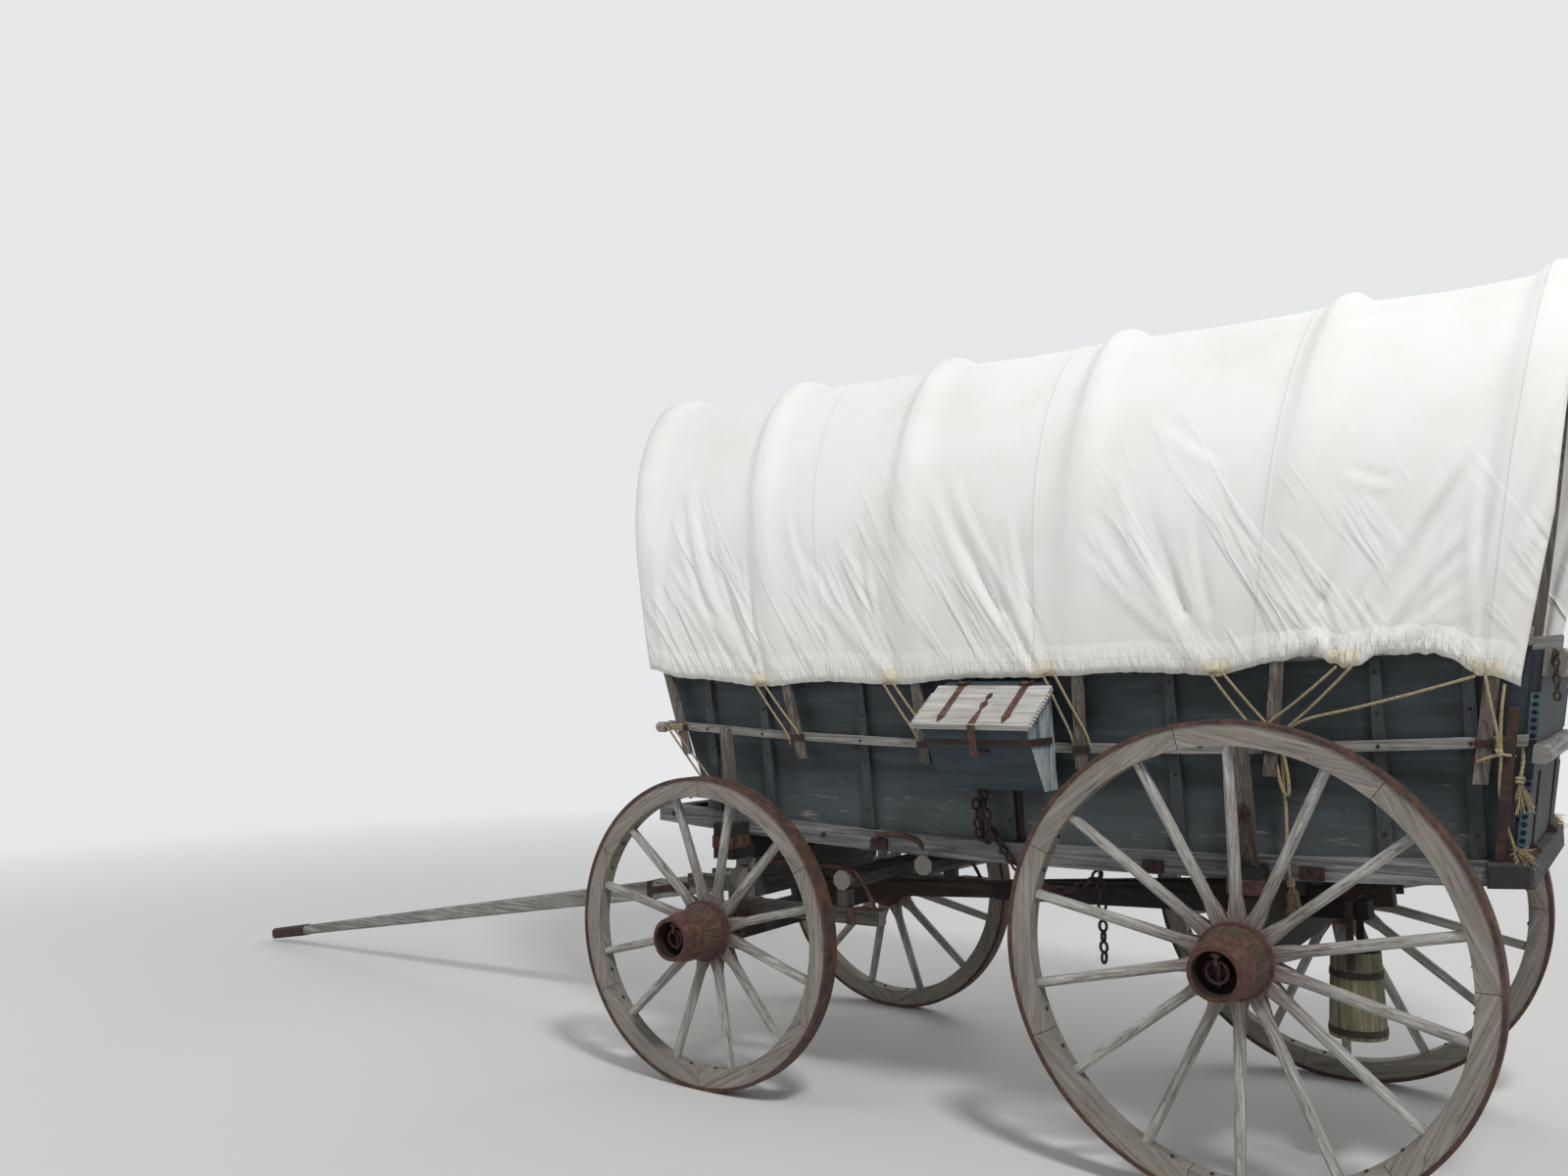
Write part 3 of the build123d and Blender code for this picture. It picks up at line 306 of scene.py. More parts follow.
greyAlong = makeWood("weathered oak, grain fore and aft", "X", greyShades)
paleLid = makeWood("sun-bleached pine lid", "X", ("#96938e", "#b3b0ab", "#c9c6c2", "#4d4944", "#a19e99"))
rust = makeIron("rusted wrought iron", ("#1d1512", "#33241f", "#483127", "#603f2e"))
redIron = makeIron("red-leaded iron", ("#31201b", "#50352d", "#68473b", "#7d5947"))
tireIron = makeIron("rusted tyre iron", ("#2b201b", "#45332b", "#604232", "#925f38"), 0.05)
chainIron = makeIron("dark chain iron", ("#1b1411", "#2d211c", "#3f2c25", "#543a2d"), 0.015)
blueStrip = makePaint("bright blue paint on iron", "Z", ("#3a525c", "#4d6772", "#68818b"), shadedGearShades, 0.63)

# a wheel's end, centre, radius and count of felloes
wheels = (("front", at(wheelbase, 0, frontRadius), frontRadius, 6), ("rear", at(0, 0, rearRadius), rearRadius, 7))
for end, centre, radius, planks in wheels:
    rim = ("#756f68", "#898379", "#9c968d", "#3b3530")
    spoke = ("#7b7771", "#a09d98", "#c3c0bc", "#3d3732")
    looks = {"felloes": makeWood(f"ash felloes, {end} wheels", "round", rim, centre, 0.01, planks),
             "spokes": makeWood(f"oak spokes, {end} wheels", "radial", spoke, centre, 0.009, stain=("#4f392f", 0.34)),
             "hub": makeHub(f"elm hub with iron bands, {end} wheels", centre), "tire": tireIron}
    for side in ("left", "right"):
        for part, material in looks.items():
            coat(f"{end}_{side}_{part}", material)

# each other material and its CAD nodes
finishes = [
    (greyAlong, "tongue side_rails floor"),
    (makeWood("blackened oak sills", "X", ("#474847", "#6b6d6d", "#989a99", "#1a1816", "#454341")), "sills"),
    # the end sill's near-black shades are painted shade, not the wood's own colour
    (makeWood("oak end sill, near black as painted shade", "Y", ("#262523", "#3a3836", "#55524e", "#141210", "#2c2a28"), grain=0.006),
     "rear_end_sill"),
    (makeWood("weathered oak, grain across", "Y", greyShades), "front_gate_bars rear_gate_bars"),
    (makeWood("weathered ash bows", "Z", ("#4a443e", "#696159", "#8a837b", "#231f1c", "#5c554e")),
     "bows bolster_stakes"),
    # the running gear under the bed is darkened as painted shade
    (makeWood("gear oak darkened as painted shade, grain fore and aft", "X", shadedGearShades), "front_hounds"),
    (makeWood("gear oak darkened as painted shade, grain across", "Y", shadedGearShades, grain=0.008), "sand_board sway_bar under_bar"),
    (makeWood("gear oak darkened as painted shade, grain upright", "Z", shadedGearShades), "sway_bar_risers"),
    # these parts under the bed are painted near black as painted shade
    (makeWood("under-bed oak near black as painted shade, grain across", "Y", shadedUnderBedShades),
     "front_axle rear_axle cross_sills front_bolster rear_bolster"),
    (makeWood("oiled oak, grain fore and aft", "X", shadedUnderBedShades), "rear_hounds"),
    (makeWood("stained oak reach", "X", ("#2a1f17", "#3f3025", "#564535", "#15100c", "#33271e")), "reach"),
    (paleLid, "toolbox_lid"),
    (makeWood("dry pine staves", "Z", ("#4f4a3c", "#6f6a55", "#8b866f", "#25221a", "#5b5645")), "tar_bucket"),
    (makePaint("blue milk paint on planks", "X", ("#20282b", "#2f383c", "#424c51"), greyShades, 0.645, worn=1.24),
     "left_side_boards right_side_boards"),
    (makePaint("blue milk paint on the toolbox", "X", ("#1f2b31", "#2a383f", "#3a4a52"), greyShades, 0.66,
               bleached=(0.66 + rearAxleX, "#2c4756", "#8599a2", "#bfc1bd")), "toolbox"),
    # the slats' paint is darkened as painted shade
    (makePaint("blue milk paint on slats, darkened as painted shade", "Z", ("#171e21", "#242d31", "#353f44"), shadedGearShades, 0.62),
     "front_gate rear_gate"),
    (makePaint("blue milk paint worn to the wood", "Z", ("#252b2e", "#363d41", "#4a5256"), shadedGearShades, 0.53),
     "side_posts"),
    (rust, "front_axle_arms rear_axle_arms kingpin tongue_pin tongue_cap rear_gate_hinges rear_gate_pins lid_pins "
           "bucket_strap bow_staples corner_bars"),
    (redIron, "lid_hinges"),
]
for material, names in finishes:
    for name in names.split():
        coat(name, material)
print("CAD nodes finished")


def addPiece(name, shape, material, body="bed", smooth=True):
    mesh = bpy.data.meshes.new(name)
    shape.to_mesh(mesh)
    shape.free()
    for face in mesh.polygons:
        face.use_smooth = smooth
    mesh.materials.append(material)
    piece = bpy.data.objects.new(name, mesh)
    bpy.context.scene.collection.objects.link(piece)
    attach(piece, body)
    return piece


# The wagon's sides: curved like the bed and leaning outwards
side = {"footY": 0.462, "footZ": 1.03, "lean": 7.6, "rise": 0.06, "halfLength": 1.63, "middleX": 0.85,
        "railOut": 0.0455, "bowOut": 0.062, "barOut": 0.073, "posts": (-0.64, -0.39, 0.24, 0.85, 1.44, 1.9, 2.18)}
ropeRadius = 0.0048


def rise(x):
    radius = (side["halfLength"] ** 2 + side["rise"] ** 2) / (2 * side["rise"])
    return radius - sqrt(radius ** 2 - (x - side["middleX"]) ** 2)


def onSide(x, height, out):
    # height is up the leaning wall, out is square to it
    lean = radians(side["lean"])
    return at(x, side["footY"] + height * sin(lean) + out * cos(lean),
              side["footZ"] + height * cos(lean) - out * sin(lean))


def besideSide(x, z, out):
    # a spot at height z, outside the left boards
    lean = radians(side["lean"])
    return at(x, side["footY"] + (z - side["footZ"]) * tan(lean) + out / cos(lean), z)


def mirrorAcross(shape):
    bmesh.ops.mirror(shape, geom=shape.verts[:] + shape.edges[:] + shape.faces[:], matrix=Matrix(),
                     merge_dist=0, axis="Y")
    bmesh.ops.recalc_face_normals(shape, faces=shape.faces)
    return shape


def sweepMesh(points, radius=0.0, smoothRoute=True, sides=2, steps=8, closed=False):
    # a tube along a route, or with no radius the smooth line itself
    curve = bpy.data.curves.new("route", "CURVE")
    curve.dimensions = "3D"
    curve.bevel_depth = radius
    curve.bevel_resolution = sides
    curve.resolution_u = steps
    curve.use_fill_caps = True
    spline = curve.splines.new("NURBS" if smoothRoute else "POLY")
    spline.points.add(len(points) - 1)
    for point, spot in zip(spline.points, points):
        point.co = (*spot, 1)
    if smoothRoute:
        spline.order_u = 3
        spline.use_endpoint_u = not closed
    spline.use_cyclic_u = closed
    holder = bpy.data.objects.new("route", curve)
    mesh = bpy.data.meshes.new_from_object(holder)
    bpy.data.objects.remove(holder)
    bpy.data.curves.remove(curve)
    return mesh


def addTube(shape, points, radius, smoothRoute=True, sides=2, steps=6, closed=False):
    mesh = sweepMesh(points, radius, smoothRoute, sides, steps, closed)
    shape.from_mesh(mesh)
    bpy.data.meshes.remove(mesh)


def routeLine(points):
    mesh = sweepMesh(points, steps=12)
    line = [vert.co.copy() for vert in mesh.vertices]
    bpy.data.meshes.remove(mesh)
    return line


def walk(line, step):
    # even steps along a line: each spot and its direction
    spots, left = [], 0.0
    for start, end in zip(line, line[1:]):
        run = end - start
        while left <= run.length:
            spots.append((start + run.normalized() * left, run.normalized()))
            left += step
        left -= run.length
    return spots


def addRope(shape, points, radius=ropeRadius, pitch=0.034):
    # three laid strands along the smooth route
    step = pitch / 9
    spots = walk(routeLine(points), step)
    across = spots[0][1].orthogonal().normalized()
    strands = [[], [], []]
    for k, (spot, along) in enumerate(spots):
        across = (across - along * across.dot(along)).normalized()
        other = along.cross(across)
        for i, strand in enumerate(strands):
            angle = 2 * pi * (i / 3 + k * step / pitch)
            strand.append(spot + (across * cos(angle) + other * sin(angle)) * radius * 0.48)
    for strand in strands:
        addTube(shape, strand, radius * 0.54, smoothRoute=False, sides=1)


def addKnot(shape, centre, along, radius):
    # rope wound twice round itself
    across = along.orthogonal().normalized()
    other = along.cross(across)
    points, steps = [], 16
    for k in range(steps + 1):
        angle = k * pi / 4
        spread = radius * (1.5 + 0.25 * sin(k * 1.7))
        drop = (k / steps - 0.5) * radius * 3.4
        points.append(centre + (across * cos(angle) + other * sin(angle)) * spread + along * drop)
    addTube(shape, points, radius * 0.85, steps=4)


def addFray(shape, tip, direction, length, spread, fibres, seed):
    # loose fibres at a rope's end
    chance = random.Random(seed)
    for _ in range(fibres):
        sideways = Vector([chance.uniform(-1, 1) for _ in "xyz"]) * spread
        reach = length * chance.uniform(0.45, 1.0)
        start = tip + sideways * 0.18
        points = [start, start + direction * reach * 0.4 + sideways * 0.5,
                  start + direction * reach * 0.8 + sideways * 1.3,
                  start + direction * reach + sideways * chance.uniform(1.2, 2.2)]
        addTube(shape, points, chance.uniform(0.0006, 0.0013), sides=0, steps=3)


def edgesOf(verts):
    return list(dict.fromkeys(edge for vert in verts for edge in vert.link_edges))


def facesOf(verts):
    return list(dict.fromkeys(face for vert in verts for face in vert.link_faces))


def easeEdges(shape, edges, offset, segments):
    bmesh.ops.bevel(shape, geom=edges, offset=offset, offset_type="OFFSET", segments=segments, profile=0.5,
                    affect="EDGES", material=-1)


def addBar(shape, start, end, width, depth, across=axisX):
    # a bar from start to end, its width along across, its edges eased
    run = end - start
    along = run.normalized()
    flat = (across - along * across.dot(along)).normalized()
    turn = Matrix((flat, along.cross(flat), along)).transposed().to_4x4()
    size = Matrix.Diagonal((width, depth, run.length, 1))
    made = bmesh.ops.create_cube(shape, size=1, matrix=Matrix.Translation((start + end) / 2) @ turn @ size)
    easeEdges(shape, edgesOf(made["verts"]), min(0.0015, depth * 0.3), 2)


def addStud(shape, spot, normal, radius, height):
    # a bolt's or nail's domed head
    turn = normal.to_track_quat("Z", "Y").to_matrix().to_4x4()
    for low, high, wide, narrow in ((0, 0.6, 1.0, 0.85), (0.6, 1.0, 0.85, 0.4)):
        middle = spot + normal * height * (low + high) / 2
        bmesh.ops.create_cone(shape, cap_ends=True, segments=8, radius1=radius * wide, radius2=radius * narrow,
                              depth=height * (high - low), matrix=Matrix.Translation(middle) @ turn)


def addBand(shape, centre, axis, radii, width, thickness):
    # a hoop round an axis, tapering from one radius to the other
    turn = axis.to_track_quat("Z", "Y").to_matrix().to_4x4()
    made = bmesh.ops.create_cone(shape, cap_ends=False, segments=48, radius1=radii[0] + thickness,
                                 radius2=radii[1] + thickness, depth=width, matrix=Matrix.Translation(centre) @ turn)
    bmesh.ops.solidify(shape, geom=facesOf(made["verts"]), thickness=thickness)


def addChain(shape, points, link=0.05, wire=0.0055):
    # oval links, each turned a quarter from the last
    half, bulge = link / 2 - wire, link * 0.28
    oval = [Vector((bulge * cos(a), 0, half * sin(a))) for a in (2 * pi * k / 8 for k in range(8))]
    for k, (spot, along) in enumerate(walk(routeLine(points), link - 2.6 * wire)):
        turn = along.to_track_quat("Z", "Y").to_matrix() @ Matrix.Rotation(pi / 2 * (k % 2) + 0.3, 3, "Z")
        addTube(shape, [spot + turn @ corner for corner in oval], wire, sides=1, steps=2, closed=True)


# Canvas cover
cover = {
    "bows": [(2.3, 2.64), (1.72, 1.985), (1.16, 1.25), (0.55, 0.51), (-0.08, -0.28), (-0.67, -0.9)],
    "referenceHeight": 1.35, "crownHeight": 2.9, "centreHeight": 2.05, "widest": 126.0,
    "frontOverhang": (0.1, 0.075), "rearOverhang": (0.125, 0.085),
    "lengthSteps": 330, "aroundSteps": 140, "frontBulge": 0.045, "rearTuck": 0.045,
    "thickness": 0.0025, "inset": 0.005, "crownHump": 0.036, "crownSag": 0.01, "sideHump": 0.021, "sideSag": 0.006,
    "bowFlat": 0.012, "humpWidth": 0.038, "edgeDrop": 0.01, "ruffle": 0.009, "gatherMiddle": -0.38,
    "gatherReach": 0.27,
    # gathers seen over the cloth's length and up its width
    "gathers": (231.25, 36, 1),
    # shares of the cloth's length, the hem's share of its width
    "seams": (0.272, 0.548, 0.785), "rearStitch": 0.972, "hemShare": 0.0128, "patchHalf": 0.044,
    # x, hem height
    "hem": [(2.454, 1.631), (2.245, 1.59), (1.863, 1.56), (1.564, 1.578), (1.272, 1.565), (0.956, 1.588),
            (0.64, 1.592), (0.36, 1.605), (0.064, 1.594), (-0.112, 1.636), (-0.228, 1.65), (-0.316, 1.618),
            (-0.41, 1.655), (-0.579, 1.65), (-0.685, 1.592), (-0.8, 1.56)],
    # x and height of the top, x and height of the foot, half width, height
    "folds": [
        (2.3, 2.42, 1.92, 1.6, 0.026, 0.017), (2.34, 2.3, 2.04, 1.62, 0.02, 0.01),
        (2.22, 2.19, 1.96, 1.6, 0.02, 0.012), (2.4, 2.3, 2.36, 1.66, 0.022, 0.012),
        (1.53, 1.95, 1.29, 1.6, 0.022, 0.01), (1.77, 2.31, 1.64, 1.95, 0.02, 0.007),
        (1.49, 2.16, 1.37, 1.85, 0.018, 0.006), (1.12, 2.3, 0.74, 1.64, 0.026, 0.015),
        (1.04, 2.36, 0.8, 1.91, 0.02, 0.008), (0.95, 1.99, 0.71, 1.62, 0.02, 0.012),
        (0.9, 1.85, 0.7, 1.61, 0.016, 0.014), (0.48, 2.11, 0.2, 1.7, 0.028, 0.014),
        (0.43, 2.19, 0.15, 1.66, 0.02, 0.012), (0.35, 2.08, 0.12, 1.64, 0.022, 0.017),
        (0.27, 1.89, 0.1, 1.63, 0.018, 0.012), (0.32, 2.48, 0.07, 2.28, 0.024, 0.006),
        (-0.33, 2.2, -0.45, 2.16, 0.016, 0.014), (-0.28, 2.0, -0.2, 1.66, 0.018, 0.017),
        (-0.29, 1.94, -0.22, 1.76, 0.014, 0.01), (-0.4, 1.97, -0.29, 1.68, 0.022, 0.012),
        (-0.77, 2.43, -0.43, 1.77, 0.02, 0.013), (-0.69, 2.26, -0.38, 1.8, 0.02, 0.011),
        (-0.73, 2.31, -0.53, 1.71, 0.018, 0.01), (-0.86, 2.44, -0.66, 1.66, 0.02, 0.015),
        (-0.92, 2.45, -0.69, 1.63, 0.018, 0.012), (-0.78, 2.09, -0.67, 1.7, 0.014, 0.01),
        (-0.18, 1.87, -0.13, 1.68, 0.014, 0.008),
    ],
    "ties": (1.87, 1.27, 0.66, 0.07, -0.31, -0.69),
    # fans of folds: foot's x, count, leans from upright in degrees, longest reach
    "fans": [(1.87, 8, 10, 46, 0.72), (1.27, 6, 12, 40, 0.6), (0.66, 6, 14, 40, 0.6), (0.07, 8, 12, 46, 0.7),
             (-0.31, 5, -62, -28, 0.62), (-0.69, 5, -22, -2, 0.62), (-0.31, 3, 10, 30, 0.25)],
}
fanRandom = random.Random(7)
for footX, count, firstLean, lastLean, reach in cover["fans"]:
    for i in range(count):
        lean = radians(firstLean + (lastLean - firstLean) * (i + fanRandom.uniform(-0.3, 0.3)) / (count - 1))
        length = reach * fanRandom.uniform(0.55, 1.0)
        startX, startZ = footX + sin(lean) * 0.05 + fanRandom.uniform(-0.02, 0.02), 1.6 + cos(lean) * 0.04
        cover["folds"].append((startX + sin(lean) * length, startZ + cos(lean) * length, startX, startZ,
                               fanRandom.uniform(0.014, 0.021), fanRandom.uniform(0.011, 0.02)))
coverTree = treeOf("cover")


def bowX(low, crown, z):
    share = (z - cover["referenceHeight"]) / (cover["crownHeight"] - cover["referenceHeight"])
    return low + (crown - low) * share


def hemHeight(x):
    points = cover["hem"]
    if x >= points[0][0]:
        return points[0][1]
    for (frontX, frontZ), (backX, backZ) in zip(points, points[1:]):
        if x >= backX:
            share = (x - backX) / (frontX - backX)
            share = share * share * (3 - 2 * share)
            return backZ + (frontZ - backZ) * share
    return points[-1][1]


def sectionRay(low, crown, angle):
    # middle of a leaning section, and the direction out of it at an angle from its top
    middle = at(bowX(low, crown, cover["centreHeight"]), 0, cover["centreHeight"])
    upward = Vector((crown - low, 0, cover["crownHeight"] - cover["referenceHeight"])).normalized()
    return middle, upward * cos(angle) + axisY * sin(angle)


def coverRadius(low, crown, angle):
    # distance from the section's middle to the CAD cover's outer face
    middle, outward = sectionRay(low, crown, angle)
    return (coverTree.ray_cast(middle + outward * 2, -outward)[0] - middle).length


def share01(value):
    return min(max(value, 0), 1)


def foldHeight(x, z):
    total = 0
    for topX, topZ, footX, footZ, width, height in cover["folds"]:
        runX, runZ = footX - topX, footZ - topZ
        length = hypot(runX, runZ)
        along = ((x - topX) * runX + (z - topZ) * runZ) / length ** 2
        if along < -0.1 or along > 1.15:
            continue
        share = share01(along)
        across = ((x - topX) * runZ - (z - topZ) * runX) / length + 0.03 * length * sin(pi * share)
        spread = width * (1.15 - 0.55 * share)
        if abs(across) > 4 * spread:
            continue
        fade = share01((along + 0.1) / 0.55) * share01((1.15 - along) / 0.2)
        ridge = exp(-abs(across / spread) ** 1.5)
        total += height * fade * (ridge - 0.8 * exp(-abs(across / spread - 1.6) ** 1.5))
    return total


def coverSections():
    # each: x low, x at the crown, radii round the section
    front, rear = cover["frontOverhang"], cover["rearOverhang"]
    rounds, widest = cover["aroundSteps"], radians(cover["widest"])
    bows = cover["bows"]
    sections = [[low, crown, [coverRadius(low, crown, widest * (2 * j / rounds - 1)) for j in range(rounds + 1)]]
                for low, crown in bows]
    first, last = sections[0][2], sections[-1][2]
    sections.insert(0, [bows[0][0] + front[0], bows[0][1] + front[1], [r - 0.004 for r in first]])
    sections.append([bows[-1][0] - rear[0], bows[-1][1] - rear[1], [r - 0.012 for r in last]])
    return sections


def makeCover():
    rounds, widest = cover["aroundSteps"], radians(cover["widest"])
    sections = coverSections()
    spans = [a[1] - b[1] for a, b in zip(sections, sections[1:])]
    total = sum(spans)

    def sagAt(span, share, angle):
        # a hump over each bow, and slack between two; the cloth lies flatter on the boards
        top = max(cos(angle), 0)
        last = len(spans) - 1
        nearest = {0: 1 - share, last: share}.get(span, min(share, 1 - share)) * spans[span]
        width = cover["humpWidth"] * (1 + 0.9 * (1 - top))
        hump = 1 - exp(-(max(nearest - cover["bowFlat"], 0) / width) ** 2)
        if span in (0, last):
            return cover["edgeDrop"] * hump
        slack = sin(pi * share) * (cover["crownSag"] * top + cover["sideSag"] * (1 - top))
        flatter = max(0, (abs(angle) - pi / 2) / (widest - pi / 2))
        return hump * (cover["crownHump"] * top ** 1.2 + cover["sideHump"] * (1 - top) * (1 - 0.6 * flatter)) + slack

    def spotAt(span, share, column):
        column = min(max(column, 0), rounds)
        before, after = sections[span], sections[span + 1]
        low = before[0] * (1 - share) + after[0] * share
        crown = before[1] * (1 - share) + after[1] * share
        angle = widest * (2 * column / rounds - 1)
        j = min(int(column), rounds - 1)
        part = column - j
        radius = sum((section[2][j] * (1 - part) + section[2][j + 1] * part) * weight
                     for section, weight in ((before, 1 - share), (after, share)))
        middle, outward = sectionRay(low, crown, angle)
        sag = sagAt(span, share, angle)
        return middle + outward * (radius - cover["inset"] - sag), angle, sag

    shape = bmesh.new()
    shape.loops.layers.uv.new("cloth")
    bmesh.ops.create_grid(shape, x_segments=cover["lengthSteps"], y_segments=rounds, size=0.5, calc_uvs=True)
    for vert in shape.verts:
        u, column = 0.5 - vert.co.x, (vert.co.y + 0.5) * rounds
        run, span = u * total, 0
        while span < len(spans) - 1 and run > spans[span]:
            run -= spans[span]
            span += 1
        share = min(run / spans[span], 1)
        spot, angle, sag = spotAt(span, share, column)
        x, z = spot.x - rearAxleX, spot.z
        left = spot.y > 0
        low = spotAt(span, share, rounds if left else 0)[0]
        if z < cover["centreHeight"] and span == len(spans) - 1:
            x += cover["rearTuck"] * share * min(1, (cover["centreHeight"] - z) / 0.4)
        if span == 0:
            x -= cover["frontBulge"] * (1 - share) * max(0, sin(pi * (z - 1.62) / 1.28))
        spot.x = x + rearAxleX
        # the hem is pulled down at its ties and gathered between them
        gather = 0.35 + exp(-((x - cover["gatherMiddle"]) / cover["gatherReach"]) ** 2)
        hem = hemHeight(x) + cover["ruffle"] * gather * noise.noise(Vector((x * 34, 7, spot.y)))
        if z < cover["centreHeight"]:
            pull = ((cover["centreHeight"] - z) / (cover["centreHeight"] - low.z)) ** 1.6
            tangent = spotAt(span, share, column + 1)[0] - spotAt(span, share, column - 1)[0]
            spot += tangent * ((hem - low.z) * pull / tangent.z)
            z = spot.z
        top = max(cos(angle), 0)
        push = foldHeight(x, z) if left else foldHeight(x + 0.04, z) * 0.8
        push += 0.004 * noise.noise(Vector((x * 5, z * 2.2, 3 if left else 9))) * (1 - top) ** 0.5
        nearHem = max(0, 1 - (z - hem) / 0.14)
        push += cover["ruffle"] * 1.5 * gather * nearHem * noise.noise(Vector((x * 30, z * 3, spot.y)))
        for seam in cover["seams"]:
            push += 0.0022 * exp(-((u - seam) * total / 0.012) ** 2)
        if push < 0:
            # the bows hold the cloth out, and the rails stop it
            nearest = min(abs(x - bowX(bowLow, bowCrown, z)) for bowLow, bowCrown in cover["bows"])
            push *= share01((nearest - 0.024) / 0.04)
            push = max(push, -0.02 + sag if z < 1.8 else -0.03)
        facing = Vector((0, sin(angle), cos(angle) * 0.9)).normalized()
        vert.co = spot + facing * (push if push < 0 else 0.012 * (1 - exp(-push / 0.012)))
    bmesh.ops.recalc_face_normals(shape, faces=shape.faces)
    return shape


def makeCanvas():
    # cotton duck: matt, off-white, creased towards its ties, with stitched seams and a gathered hem
    material, add, shader, place = startMaterial("cotton duck canvas")
    parts = add("SeparateXYZ", place).node.outputs
    cloth = add("UVMap", uv_map="cloth")
    cut = add("SeparateXYZ", cloth).node.outputs
    # share of the cloth's length from its front edge, and of its width from the nearer hem
    along = add("Math SUBTRACT", 1.0, cut[0])
    edge = add("Math PINGPONG", cut[1], 0.5)
    soil = add("TexNoise", place, scale=2.4, detail=7.0, roughness=0.6)
    ramp = add("ValToRGB", soil)
    setRamp(ramp, (0.3, 0.5, 0.75), ("#e4e3df", "#ebebe8", "#f0f0ee"))
    # darker and yellower towards the hem, in patches
    low = add("MapRange", parts[2], fromMin=1.9, fromMax=1.6, toMax=0.3)
    lowerTint = add("Math MULTIPLY", low, soil)
    colour = add("Mix RGBA", lowerTint, ramp, linear("#ddd6bf"))
    inHem = add("Math LESS_THAN", edge, cover["hemShare"])
    for x in cover["ties"]:
        near = add("Math COMPARE", parts[0], x + rearAxleX, cover["patchHalf"])
        share = add("Math MULTIPLY", add("Math MULTIPLY", near, inHem), 0.55)
        colour = add("Mix RGBA", share, colour, linear("#e6dab2"))
    # lapped seams: a stitched line beside a step
    line = add("Math COMPARE", edge, cover["hemShare"], 0.0005)
    step = add("Math GREATER_THAN", along, cover["rearStitch"])
    for share in (*cover["seams"], cover["rearStitch"]):
        line = add("Math MAXIMUM", line, add("Math COMPARE", along, share, 0.0007))
        step = add("Math MAXIMUM", step, add("Math COMPARE", along, share + 0.0026, 0.0026))
    colour = add("Mix RGBA", add("Math MULTIPLY", line, 0.18), colour, linear("#8a867c"))
    # creases run up and forward from the ties
    slant = add("Mapping", place, vector_type="TEXTURE", rotation=(0, radians(30), 0), scale=(0.13, 0.6, 1.1))
    drawn = add("TexNoise", slant, scale=1.0, detail=3.0, roughness=0.5)
    sharp = add("MapRange", add("Math PINGPONG", drawn, 0.5), fromMin=0.44, fromMax=0.5, toMax=1.3)
    lower = add("MapRange", parts[2], fromMin=2.5, fromMax=1.8, toMin=0.05)
    patches = add("TexNoise", place, scale=1.9, detail=2.0, roughness=0.6)
    patchy = add("MapRange", patches, fromMin=0.44, fromMax=0.62)
    creases = add("Math MULTIPLY", sharp, add("Math MULTIPLY", lower, patchy))
    # gathers run up from the hem, most where the rear ties draw it in
    upright = add("Mapping", cloth, scale=cover["gathers"])
    puckers = add("TexNoise", upright, scale=1.0, detail=2.0, roughness=0.5)
    reach = add("MapRange", edge, fromMin=0.028, fromMax=0.01, toMax=3.0)
    more = add("Math MULTIPLY_ADD", add("Math COMPARE", along, 0.895, 0.085), 0.9, 1.0)
    ridges = add("Math MULTIPLY_ADD", add("Math MULTIPLY", puckers, reach), more, creases)
    stepped = add("Math MULTIPLY_ADD", add("Math ADD", inHem, step), 0.25, ridges)
    weave = add("TexNoise", place, scale=420.0, detail=2.0, roughness=0.6)
    height = add("Math MULTIPLY_ADD", weave, 0.07, stepped)
    finish(add, shader, colour, height, 0.007, 0.8)
    shader.inputs["Roughness"].default_value = 0.95
    shader.inputs["Sheen Weight"].default_value = 0.1
    return material


canvas = addPiece("canvas_cover", makeCover(), makeCanvas())
wall = canvas.modifiers.new("thickness", "SOLIDIFY")
wall.thickness = cover["thickness"]
wall.offset = -1
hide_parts("cover")
print("canvas made")

# Ropes
manila, addManila, manilaShader, manilaPlace = startMaterial("laid manila rope")  # tan, dusty, matt
fibre = addManila("ValToRGB", addManila("TexNoise", manilaPlace, scale=180.0, detail=5.0, roughness=0.6))
setRamp(fibre, (0.3, 0.5, 0.72), ("#74684f", "#a19171", "#c0b190"))
manila.node_tree.links.new(fibre, manilaShader.inputs["Base Color"])
manilaShader.inputs["Roughness"].default_value = 0.95

rope = {
    "cordRadius": 0.006, "knotOut": 0.009,
    # tie's x and height, foot's x and height: each a pair of ropes to both sides of a bow's foot
    "pairs": [(1.873, 1.556, 1.732, 1.368), (1.281, 1.56, 1.15, 1.374), (0.64, 1.59, 0.545, 1.387),
              (0.069, 1.591, -0.07, 1.412)],
    # the pair that crosses to the fifth bow, and the long rope from the rear tie
    "crossing": [(-0.292, 1.618, -0.05, 1.425), (-0.335, 1.618, -0.1, 1.4), (-0.665, 1.588, -0.125, 1.445)],
    "sideRoute": [(-0.107, 0.5385, 1.35), (-0.107, 0.528, 1.271), (-0.112, 0.524, 1.15),
                  (-0.108, 0.527, 1.035), (-0.117, 0.522, 0.945)],
    "cornerRoute": [(-0.77, 0.5436, 1.3882), (-0.77, 0.5396, 1.3585), (-0.766, 0.5385, 1.324),
                    (-0.759, 0.54, 1.293)],
}


